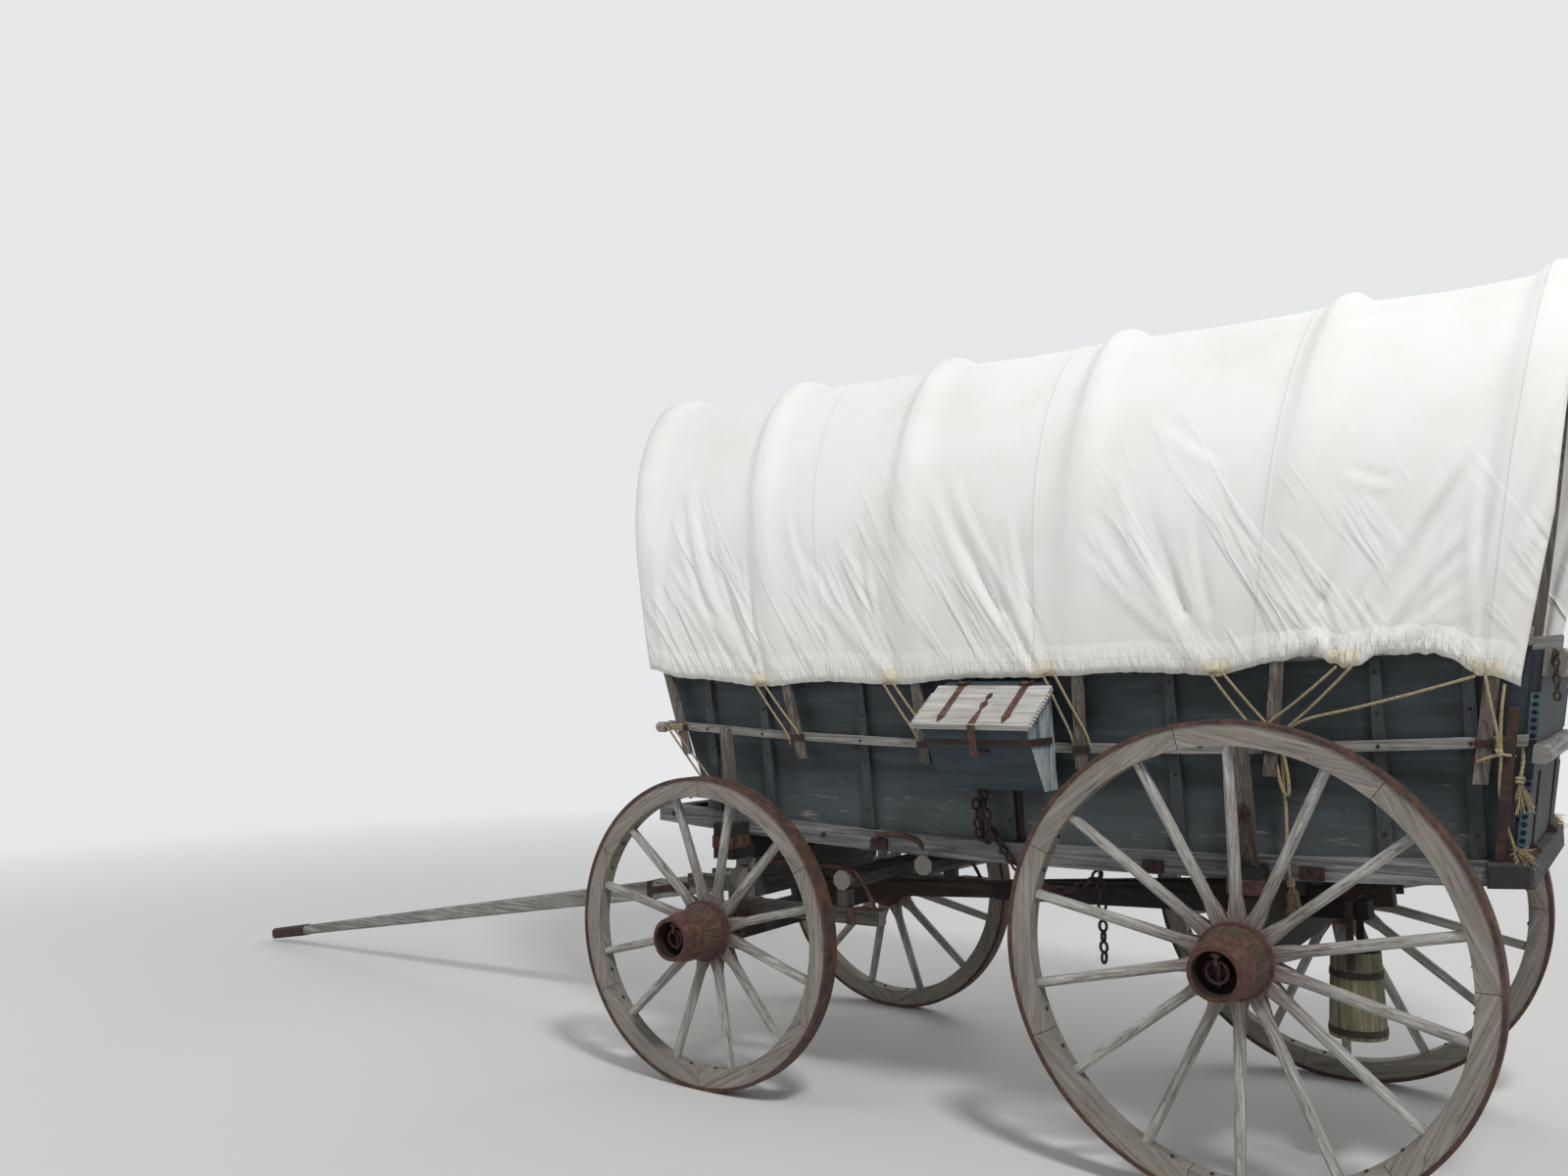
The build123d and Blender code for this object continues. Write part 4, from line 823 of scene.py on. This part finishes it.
def makeTies():
    shape = bmesh.new()
    for tieX, tieZ, footX, footZ in rope["pairs"]:
        for spread, shift in ((0.021, 0.029), (-0.021, -0.029)):
            top = besideSide(tieX + spread, tieZ + 0.01, 0.071)
            foot = besideSide(footX + shift, footZ, side["bowOut"] - 0.002)
            middle = (top + foot) / 2 + Vector((0, 0.004, -0.004))
            under = besideSide(footX + shift, footZ - 0.04, side["railOut"] + 0.004)
            addRope(shape, [top, middle, foot, under])
        addRope(shape, [besideSide(tieX + x, tieZ + z, 0.072) for x, z in
                        ((0.021, 0.01), (0.016, 0.016), (-0.016, 0.016), (-0.021, 0.01))])
    for tieX, tieZ, endX, endZ in rope["crossing"]:
        top = besideSide(tieX, tieZ, 0.071)
        foot = besideSide(endX, endZ, side["bowOut"] + 0.006)
        addRope(shape, [top, (top + foot) / 2 - Vector((0, 0, 0.012)), foot, foot - Vector((0, 0.012, 0.05))])
    # the lashing at the front end
    for endX, lowX in ((2.355, 2.115), (2.385, 2.165)):
        start = besideSide(endX, 1.4, side["bowOut"] + 0.006)
        end = besideSide(lowX, 1.085, 0.035)
        addRope(shape, [start, (start + end) / 2 - Vector((0, 0, 0.006)), end])
    for turn in (0.0, 0.012, 0.024):
        addRope(shape, [besideSide(x + 2.318, 1.378 + turn * 0.8, out) for x, out in
                        ((-0.03, 0.05), (-0.026, 0.068), (0.026, 0.068), (0.06, 0.05))])
    return shape


def makeCornerRopes():
    # lashings on the rear corner bar
    shape = bmesh.new()
    out = side["barOut"]
    for rows in (
            ((-0.69, 1.59, 0.072), (-0.702, 1.5, 0.086), (-0.715, 1.42, out + 0.008), (-0.714, 1.36, out + 0.007)),
            ((-0.738, 1.565, 0.074), (-0.728, 1.5, 0.084), (-0.72, 1.42, out + 0.008), (-0.719, 1.35, out + 0.007),
             (-0.706, 1.27, out - 0.006), (-0.714, 1.18, out - 0.022), (-0.735, 1.1, out - 0.02),
             (-0.742, 1.07, out - 0.02)),
            ((-0.655, 1.342, 0.066), (-0.675, 1.35, 0.07), (-0.715, 1.366, out + 0.006),
             (-0.742, 1.362, out + 0.005), (-0.752, 1.36, out - 0.02))):
        addRope(shape, [besideSide(*row) for row in rows])
    addKnot(shape, besideSide(-0.716, 1.372, out + rope["knotOut"]), Vector((0.2, 0, 1)).normalized(), ropeRadius)
    addFray(shape, besideSide(-0.738, 1.09, out - 0.02), Vector((-0.55, 0.35, -0.45)), 0.06, 0.014, 90, 5)
    return shape


def makeCord(name, node, path, lastRun, seed):
    size = rope["cordRadius"]
    points = [at(*point) for point in path]
    line = routeLine(points)
    strands, end = bmesh.new(), bmesh.new()
    addRope(strands, points, size, 0.04)
    cord = addPiece(name, strands, manila)
    down = (line[-1] - line[-3]).normalized()
    addKnot(end, line[-1] + down * 0.004, down, size)
    addFray(end, line[-1] + down * 0.01, (down + lastRun).normalized(), 0.085, 0.013, 100, seed)
    knot = addPiece(f"{name}_frayed_end", end, manila)
    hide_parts(node)


makeCord("side_rope_laid", "side_rope", rope["sideRoute"], Vector((0, 0, -0.2)), 3)
makeCord("corner_rope_laid", "corner_rope", rope["cornerRoute"], Vector((-0.55, 0.3, -0.5)), 8)
addPiece("cover_ties", mirrorAcross(makeTies()), manila)
addPiece("corner_lashings", mirrorAcross(makeCornerRopes()), manila)

loop = bmesh.new()
addRope(loop, route((-0.086, 0.545, 1.352), (-0.094, 0.54, 1.28), (-0.106, 0.534, 1.226), (-0.118, 0.533, 1.214),
                    (-0.126, 0.536, 1.226), (-0.123, 0.541, 1.29), (-0.112, 0.543, 1.35)), rope["cordRadius"])
addRope(loop, [besideSide(x - 0.08, 1.345 + z, out) for x, z, out in
               ((-0.04, 0.02, 0.05), (-0.03, 0.03, 0.067), (0.0, 0.028, 0.07), (0.028, 0.03, 0.067),
                (0.034, 0.012, 0.05))])
addPiece("side_rope_loop", loop, manila)
print("ropes made")

# Irons on the bed
irons = {
    # height up a post or rail, and how far out
    "bolts": [(0.05, 0.022), (0.235, 0.022), (0.42, 0.022), (0.545, 0.022), (0.322, 0.0455)],
    "sillBolts": (2.4, 1.64, 0.88, 0.33, -0.6), "clips": (1.385, 0.325, -0.18), "sillY": 0.505,
    "chains": [[(0.9, 0.518, 1.035), (0.85, 0.522, 0.95), (0.77, 0.512, 0.868), (0.66, 0.49, 0.842),
                (0.59, 0.47, 0.862), (0.535, 0.455, 0.912)],
               [(0.53, 0.452, 0.91), (0.527, 0.45, 0.78), (0.525, 0.45, 0.615)],
               [(0.935, 0.535, 1.205), (0.93, 0.528, 1.12), (0.915, 0.52, 1.05), (0.935, 0.516, 0.985),
                (0.97, 0.52, 1.04), (0.962, 0.536, 1.15)]],
}


def makeBedBolts():
    shape = bmesh.new()
    lean = radians(side["lean"])
    outward = Vector((0, cos(lean), -sin(lean)))
    for x in side["posts"]:
        for height, out in irons["bolts"]:
            addStud(shape, onSide(x, height + rise(x), out), outward, 0.006, 0.004)
    for x in irons["sillBolts"]:
        addStud(shape, at(x, irons["sillY"], 0.965 + rise(x)), axisY, 0.011, 0.008)
    for x in irons["clips"]:
        top = at(x, irons["sillY"] + 0.006, 0.974 + rise(x))
        addBar(shape, top, top - Vector((0, 0, 0.042)), 0.07, 0.014)
        addStud(shape, top + Vector((0, 0.008, -0.012)), axisY, 0.008, 0.006)
    return mirrorAcross(shape)


def makeChains():
    shape = bmesh.new()
    for rows in irons["chains"]:
        addChain(shape, route(*rows))
    addTube(shape, route((0.53, 0.452, 0.968), (0.532, 0.452, 0.93), (0.538, 0.452, 0.905), (0.53, 0.452, 0.895),
                         (0.522, 0.452, 0.905)), 0.003)
    addTube(shape, route((0.93, 0.5, 1.045), (0.915, 0.52, 1.05), (0.9, 0.524, 1.038),
                         (0.893, 0.518, 1.026)), 0.004)
    return shape


def makeStakeStays():
    # forked irons from each rear stake down to the bolster's end
    shape = bmesh.new()
    apex = (0.0, 0.6035, 1.185)
    for rows in ((apex, (-0.012, 0.606, 1.15), (-0.03, 0.604, 1.05), (-0.044, 0.6, 0.965)),
                 (apex, (0.014, 0.606, 1.15), (0.026, 0.603, 1.09), (0.03, 0.6, 0.965))):
        addTube(shape, route(*rows), 0.0055)
    addBar(shape, at(-0.024, 0.6, 1.165), at(0.024, 0.6, 1.165), 0.02, 0.006, axisZ)
    addBar(shape, at(0.026, 0.597, 1.1), at(0.028, 0.59, 0.965), 0.024, 0.005, axisY)
    addStud(shape, at(0.0, 0.601, 1.182), axisY, 0.01, 0.008)
    return mirrorAcross(shape)


def makeBolsterIrons():
    # red iron plates on the raised ends of both bolsters
    shape = bmesh.new()
    for x in (0.0, wheelbase):
        for away in (-1, 1):
            face = x + away * 0.0525
            addBar(shape, at(face, 0.515, 0.932), at(face, 0.617, 0.932), 0.05, 0.004, axisZ)
        addBar(shape, at(x, 0.6205, 0.908), at(x, 0.6205, 0.956), 0.106, 0.004)
        addBar(shape, at(x - 0.054, 0.5855, 0.9595), at(x + 0.054, 0.5855, 0.9595), 0.05, 0.004, axisY)
    return mirrorAcross(shape)


def makeRailKnob():
    # a turned knob in the front end of each side rail
    shape = bmesh.new()
    turn = Matrix.Rotation(pi / 2, 4, "Y")
    made = bmesh.ops.create_cone(shape, cap_ends=True, segments=24, radius1=0.022, radius2=0.022, depth=0.048,
                                 matrix=Matrix.Translation(besideSide(2.432, 1.386, 0.034)) @ turn)
    rims = [edge for edge in edgesOf(made["verts"]) if len({len(face.verts) for face in edge.link_faces}) > 1]
    easeEdges(shape, rims, 0.009, 4)
    return mirrorAcross(shape)


def makeRollerHook():
    shape = bmesh.new()
    addTube(shape, route((1.392, 0.516, 0.99), (1.345, 0.526, 1.004), (1.27, 0.527, 1.002), (1.215, 0.512, 0.985),
                         (1.196, 0.497, 0.948), (1.198, 0.49, 0.926)), 0.0095)
    addStud(shape, at(1.392, 0.514, 0.986), axisY, 0.014, 0.012)
    return mirrorAcross(shape)


addPiece("bed_bolts_and_clips", makeBedBolts(), chainIron, smooth=False)
addPiece("sill_chains", makeChains(), chainIron)
addPiece("rear_stake_stays", makeStakeStays(), redIron)
addPiece("bolster_end_plates", makeBolsterIrons(), redIron, smooth=False)
addPiece("under_bar_hooks", makeRollerHook(), redIron)
addPiece("rail_knobs", makeRailKnob(), greyAlong)
print("bed irons made")

# Toolbox irons, laid on the lid and the front
lidTree, boxTree = treeOf("toolbox_lid"), treeOf("toolbox")
box = {
    "hingeX": (0.967, 0.723), "haspX": 0.834, "iron": 0.003, "lidFrontY": 0.822, "lidSlope": (0, 0.53, 0.85),
    # y on the lid, half width: two leaves, a waist and the long blade
    "hasp": [(0.655, 0.003), (0.664, 0.009), (0.676, 0.0125), (0.688, 0.008), (0.696, 0.0035), (0.706, 0.01),
             (0.718, 0.015), (0.732, 0.011), (0.742, 0.0055), (0.76, 0.0075), (0.79, 0.0125), (0.82, 0.0145)],
    # y on the lid, half width: a strap's spear end
    "spear": [(0.765, 0.009), (0.775, 0.0155), (0.784, 0.015), (0.8, 0.009), (0.815, 0.0015)],
    "lidEnds": (1.064, 0.626), "scallops": 11, "scallopY": 0.656, "scallopStep": 0.0157, "scallopDepth": 0.008,
    "low": 0.646, "high": 1.044,
}


def lidHeight(x, y):
    return lidTree.ray_cast(at(x, y, 2.5), -axisZ)[0].z


def boxFront(x, z):
    return boxTree.ray_cast(at(x, 1.5, z), -axisY)[0].y


def addLeaf(shape, x, table):
    # a flat iron whose width follows the table, lying on the lid
    made = bmesh.ops.create_grid(shape, x_segments=2, y_segments=len(table) - 1, size=0.5)
    for vert in made["verts"]:
        y, half = table[round((vert.co.y + 0.5) * (len(table) - 1))]
        vert.co = at(x + vert.co.x * 2 * half, y, lidHeight(x, y) + 0.0005)
    faces = facesOf(made["verts"])
    bmesh.ops.recalc_face_normals(shape, faces=faces)
    bmesh.ops.solidify(shape, geom=faces, thickness=box["iron"])


def makeLidIrons():
    shape = bmesh.new()
    # x, its leaf, the y of its nails, their radius and how far up they sit
    for x, table, nails, radius, lift in (*((x, "spear", (0.69, 0.75, 0.79), 0.005, 0.004) for x in box["hingeX"]),
                                          (box["haspX"], "hasp", (0.676, 0.718, 0.8), 0.004, 0.003)):
        addLeaf(shape, x, box[table])
        for y in nails:
            addStud(shape, at(x, y, lidHeight(x, y) + lift), Vector(box["lidSlope"]), radius, 0.003)
    edge = at(x, box["lidFrontY"], lidHeight(x, 0.815) - 0.012)
    addBar(shape, edge + Vector((0, 0.004, 0.006)), edge + Vector((0, -0.022, -0.105)), 0.027, 0.003)
    return shape


def makeLidEnds():
    # the lid's carved ends: a row of small scallops down each
    shape = bmesh.new()
    for endX, outward in zip(box["lidEnds"], (1, -1)):
        for k in range(box["scallops"]):
            y = box["scallopY"] + box["scallopStep"] * k
            spot = at(endX - 0.001 * outward, y, lidHeight(endX - 0.008 * outward, y) - box["scallopDepth"])
            addStud(shape, spot, axisX * outward, 0.0072, 0.013)
    return shape


def makeBoxIrons():
    # a band round the box, a staple for the hasp and two cleats under it
    shape = bmesh.new()
    low, high, z = box["low"], box["high"], 1.372
    y = boxFront(0.7, z) + 0.003
    for start, end in (((high, y), (low, y)), ((low - 0.003, y), (low - 0.003, 0.585)),
                       ((high + 0.003, y), (high + 0.003, 0.585))):
        addBar(shape, at(*start, z), at(*end, z), 0.024, 0.004, axisZ)
    x, z = box["haspX"] - 0.006, 1.338
    y = boxFront(x, z)
    addTube(shape, route(*((x + away, y + out, z) for away, out in
                           ((-0.016, -0.002), (-0.016, 0.02), (0.016, 0.02), (0.016, -0.002)))), 0.004)
    for x in (0.975, 0.815):
        addBar(shape, besideSide(x, 1.195, 0.004), besideSide(x, 1.005, 0.004), 0.016, 0.004)
    return shape


addPiece("lid_spears_and_hasp", makeLidIrons(), redIron, "toolbox_lid", smooth=False)
addPiece("lid_scalloped_ends", makeLidEnds(), paleLid, "toolbox_lid", smooth=False)
addPiece("toolbox_band_and_staple", makeBoxIrons(), rust, smooth=False)
print("toolbox irons made")

# Rear gate: edge strips with punched holes, and the chain on its top bar
gateStrip = {"spans": ((1.075, 1.29), (1.405, 1.54)), "pitch": 0.024, "half": 0.013, "hole": 0.0085,
             "thickness": 0.0025}


def makeGateIrons():
    # punched iron strips up the gate's edges: each length of strip is a square bridged to its hole
    shape = bmesh.new()
    for span in gateStrip["spans"]:
        low, high = (at(-0.746 - (z - 1.061) * 0.1317, 0.468 + (z - 1.03) * 0.1334, z) for z in span)
        count = round((span[1] - span[0]) / gateStrip["pitch"])
        step = (high - low) / count
        for k in range(count):
            middle, edges = low + step * (k + 0.5), []
            for size in (None, gateStrip["hole"]):
                ring = bmesh.ops.create_circle(shape, segments=8, radius=1)["verts"]
                edges += edgesOf(ring)
                for vert in ring:
                    across, along = vert.co.x, vert.co.y
                    if size:
                        across, along = across * size, along * size
                    else:
                        across = min(max(across * 1.5, -1), 1) * gateStrip["half"]
                        along = min(max(along * 1.5, -1), 1) * step.length / 2
                    vert.co = middle + Vector((across, 0, 0)) + step.normalized() * along
            bmesh.ops.bridge_loops(shape, edges=edges)
    bmesh.ops.remove_doubles(shape, verts=shape.verts, dist=0.0001)
    bmesh.ops.recalc_face_normals(shape, faces=shape.faces)
    bmesh.ops.solidify(shape, geom=shape.faces[:], thickness=gateStrip["thickness"])
    return mirrorAcross(shape)


gateChain = bmesh.new()
addChain(gateChain, route((-0.862, 0.572, 1.65), (-0.864, 0.572, 1.6), (-0.862, 0.572, 1.52)), 0.034, 0.004)
addStud(gateChain, at(-0.862, 0.556, 1.65), axisY, 0.01, 0.02)
addPiece("gate_edge_strips", makeGateIrons(), blueStrip, "rear_gate", smooth=False)
addPiece("gate_chain", gateChain, chainIron, "rear_gate")
print("gate irons made")


def makeGearIrons():
    # plates, rods and clamps on the front hounds
    shape = bmesh.new()
    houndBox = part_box("front_hounds")
    low, top = houndBox[0].z, houndBox[1].z
    endX = houndBox[0].x - rearAxleX
    addBar(shape, at(endX + 0.002, 0.452, top + 0.003), at(endX + 0.115, 0.455, top + 0.003), 0.06, 0.005, axisY)
    addStud(shape, at(endX + 0.035, 0.455, top + 0.005), axisZ, 0.014, 0.01)
    for rows in (((endX + 0.035, 0.455, top + 0.012), (endX + 0.045, 0.452, top + 0.035), (1.5, 0.448, 0.8),
                  (1.535, 0.446, 0.842), (1.6, 0.446, 0.846)),
                 ((1.57, 0.446, 0.846), (1.8, 0.448, 0.85), (1.985, 0.45, 0.838), (2.02, 0.45, 0.836))):
        addTube(shape, route(*rows), 0.008)
    # clamps round the hound behind the front axle and at the riser's foot
    for out in (-0.034, 0.034):
        for x, y, under, over, width in ((1.985, 0.487, 0.004, 0.004, 0.026), (1.527, 0.459, 0.002, 0.003, 0.034)):
            addBar(shape, at(x, y + out, low - under), at(x, y + out, top + over), width, 0.004)
    addStud(shape, at(2.02, 0.45, 0.826), axisZ, 0.014, 0.012)
    return mirrorAcross(shape)


addPiece("front_gear_irons", makeGearIrons(), redIron, "front_gear")

# Tongue strap and side plates
tongue = {"pinX": 2.44, "pinZ": 0.6678, "slope": 9.9743, "strapX": 2.93, "width": 0.0985, "height": 0.0775}


def onTongue(x, y, above):
    slope = radians(tongue["slope"])
    return at(x, y, tongue["pinZ"] - (x - tongue["pinX"]) * tan(slope) + above / cos(slope))


def makeTongueIrons():
    shape = bmesh.new()
    x, half, high = tongue["strapX"], tongue["width"] / 2, tongue["height"] / 2
    for sign in (-1, 1):
        y, away = half * sign, 0.0025 * sign
        addBar(shape, onTongue(x, y + away, -high), onTongue(x, y + away, high), 0.034, 0.004)
        addBar(shape, onTongue(x - 0.01, y + away, 0.0), onTongue(x - 0.24, y + away * 1.8, 0.0), 0.034, 0.004, axisZ)
        for back in (0.06, 0.14, 0.21):
            addStud(shape, onTongue(x - back, y + away * 2, 0.0), axisY * sign, 0.009, 0.006)
    for above in (-high - 0.0025, high + 0.0025):
        addBar(shape, onTongue(x, -half - 0.004, above), onTongue(x, half + 0.004, above), 0.034, 0.004)
    return shape


addPiece("tongue_strap", makeTongueIrons(), rust, "tongue", smooth=False)

# Bucket hoops, read off the staves
bucket = {"x": -0.25, "y": 0.272, "hoops": (0.462, 0.64), "height": 0.02}
bucketTree = treeOf("tar_bucket")
hoops = bmesh.new()
for hoopZ in bucket["hoops"]:
    radii = []
    for z in (hoopZ - bucket["height"] / 2, hoopZ + bucket["height"] / 2):
        hit = bucketTree.ray_cast(at(bucket["x"] - 1, bucket["y"], z), axisX)[0]
        radii.append(at(bucket["x"], 0, 0).x - hit.x + 0.0005)
    addBand(hoops, at(bucket["x"], bucket["y"], hoopZ), axisZ, radii, bucket["height"], 0.002)
addPiece("bucket_hoops", hoops, chainIron, smooth=False)

# Wheel irons: bands on the hubs, bolts inside the felloes, linchpins on the axle arms
wheelIron = {
    # span outwards, radii at its ends, thickness
    "bands": [((0.7355, 0.7585), (0.1142, 0.1142), 0.0022), ((0.8635, 0.9545), (0.0942, 0.0782), 0.002)],
    "felloeDepth": 0.0795, "rimY": 0.751, "pinY": 0.93,
}
for end, centre, radius, count in wheels:
    for sideName, sign in (("left", 1), ("right", -1)):
        bands, bolts = bmesh.new(), bmesh.new()
        for span, radii, thickness in wheelIron["bands"]:
            middle = Vector((centre.x, sign * (span[0] + span[1]) / 2, centre.z))
            addBand(bands, middle, axisY * sign, [r + 0.0003 for r in radii], span[1] - span[0], thickness)
        for k in range(3):
            angle = 2 * pi * k / 3 + 0.5
            outward = Vector((cos(angle), 0, sin(angle)))
            addStud(bands, Vector((centre.x, sign * 0.875, centre.z)) + outward * 0.094, outward, 0.006, 0.004)
        rimMiddle = Vector((centre.x, sign * wheelIron["rimY"], centre.z))
        for k in range(count):
            for away in (-0.07, 0.07):
                angle = 2 * pi * (k + 0.5) / count + away / radius
                outward = Vector((cos(angle), 0, sin(angle)))
                addStud(bolts, rimMiddle + outward * (radius - wheelIron["felloeDepth"]), -outward, 0.008, 0.006)
        wheel = f"{end}_{sideName}"
        addPiece(f"{wheel}_rim_bolts", bolts, chainIron, f"{wheel}_wheel", smooth=False)
        addPiece(f"{wheel}_wheel_irons", bands, redIron, f"{wheel}_wheel", smooth=False)
    pins = bmesh.new()
    tip = Vector((centre.x, wheelIron["pinY"], centre.z))
    addTube(pins, [tip + Vector((0, 0, z)) for z in (0.02, 0.035, 0.05)], 0.0065)
    addTube(pins, [tip + Vector(row) for row in ((-0.012, 0.002, 0.047), (0, 0, 0.054), (0.014, 0.003, 0.05))], 0.006)
    addPiece(f"{end}_linchpins", mirrorAcross(pins), redIron, "front_gear" if end == "front" else "bed")
print("wheel irons made")

# Floor and lights
bpy.ops.mesh.primitive_plane_add(size=60, location=at(1, 0, 0))
floor = bpy.context.object
floor.name = "floor_plane"
floorPaint, addFloor, floorShader, floorPlace = startMaterial("studio floor")
floorShader.inputs["Base Color"].default_value = linear("#d6d6d4")


def seenRays(add):
    # the backdrop's own colour is only for what is seen straight away or in shiny and clear pieces
    rays = add("LightPath").node.outputs
    seen = add("Math MAXIMUM", rays["Is Camera Ray"], rays["Is Glossy Ray"])
    return add("Math MAXIMUM", seen, rays["Is Transmission Ray"])


backdropColour = "#e6e8ea"
# far from the wagon the floor runs into the backdrop
fading = addFloor("MapRange", addFloor("VectorMath LENGTH", floorPlace), fromMin=4.0, fromMax=11.0)
seenFading = addFloor("Math MULTIPLY", fading, seenRays(addFloor))
glow = addFloor("Emission", color=linear(backdropColour))
floorMix = addFloor("MixShader", seenFading, floorShader.outputs[0], glow)
floorPaint.node_tree.links.new(floorMix, floorPaint.node_tree.nodes["Material Output"].inputs[0])
floor.data.materials.append(floorPaint)

world = bpy.data.worlds.new("studio")
world.use_nodes = True
bpy.context.scene.world = world
skyTree = world.node_tree
addSky = partial(addNode, skyTree)
sky = skyTree.nodes["Background"]
sky.inputs[0].default_value = linear("#f3f4f5")
sky.inputs[1].default_value = 0.42
backdrop = addSky("Background", color=linear(backdropColour), strength=1.0)
skyMix = addSky("MixShader", seenRays(addSky), sky.outputs[0], backdrop)
skyTree.links.new(skyMix, skyTree.nodes["World Output"].inputs[0])

# name, place, aim, size, power
lamps = [
    ("key", (-3.8, 4.6, 9.6), (0.9, 0.3, 1.4), 1.5, 620),
    ("fill", (6.5, 5.0, 4.0), (1.2, 0, 1.2), 4.0, 90),
    ("back", (1.0, -6.0, 6.0), (1.0, 0, 1.4), 5.0, 160),
]
for name, place, aim, size, power in lamps:
    light = bpy.data.lights.new(name, "AREA")
    light.size = size
    light.energy = power
    holder = bpy.data.objects.new(name, light)
    bpy.context.scene.collection.objects.link(holder)
    holder.location = at(*place)
    holder.rotation_euler = (at(*aim) - at(*place)).to_track_quat("-Z", "Y").to_euler()

bpy.context.scene.view_settings.view_transform = "Standard"

print("scene ready")
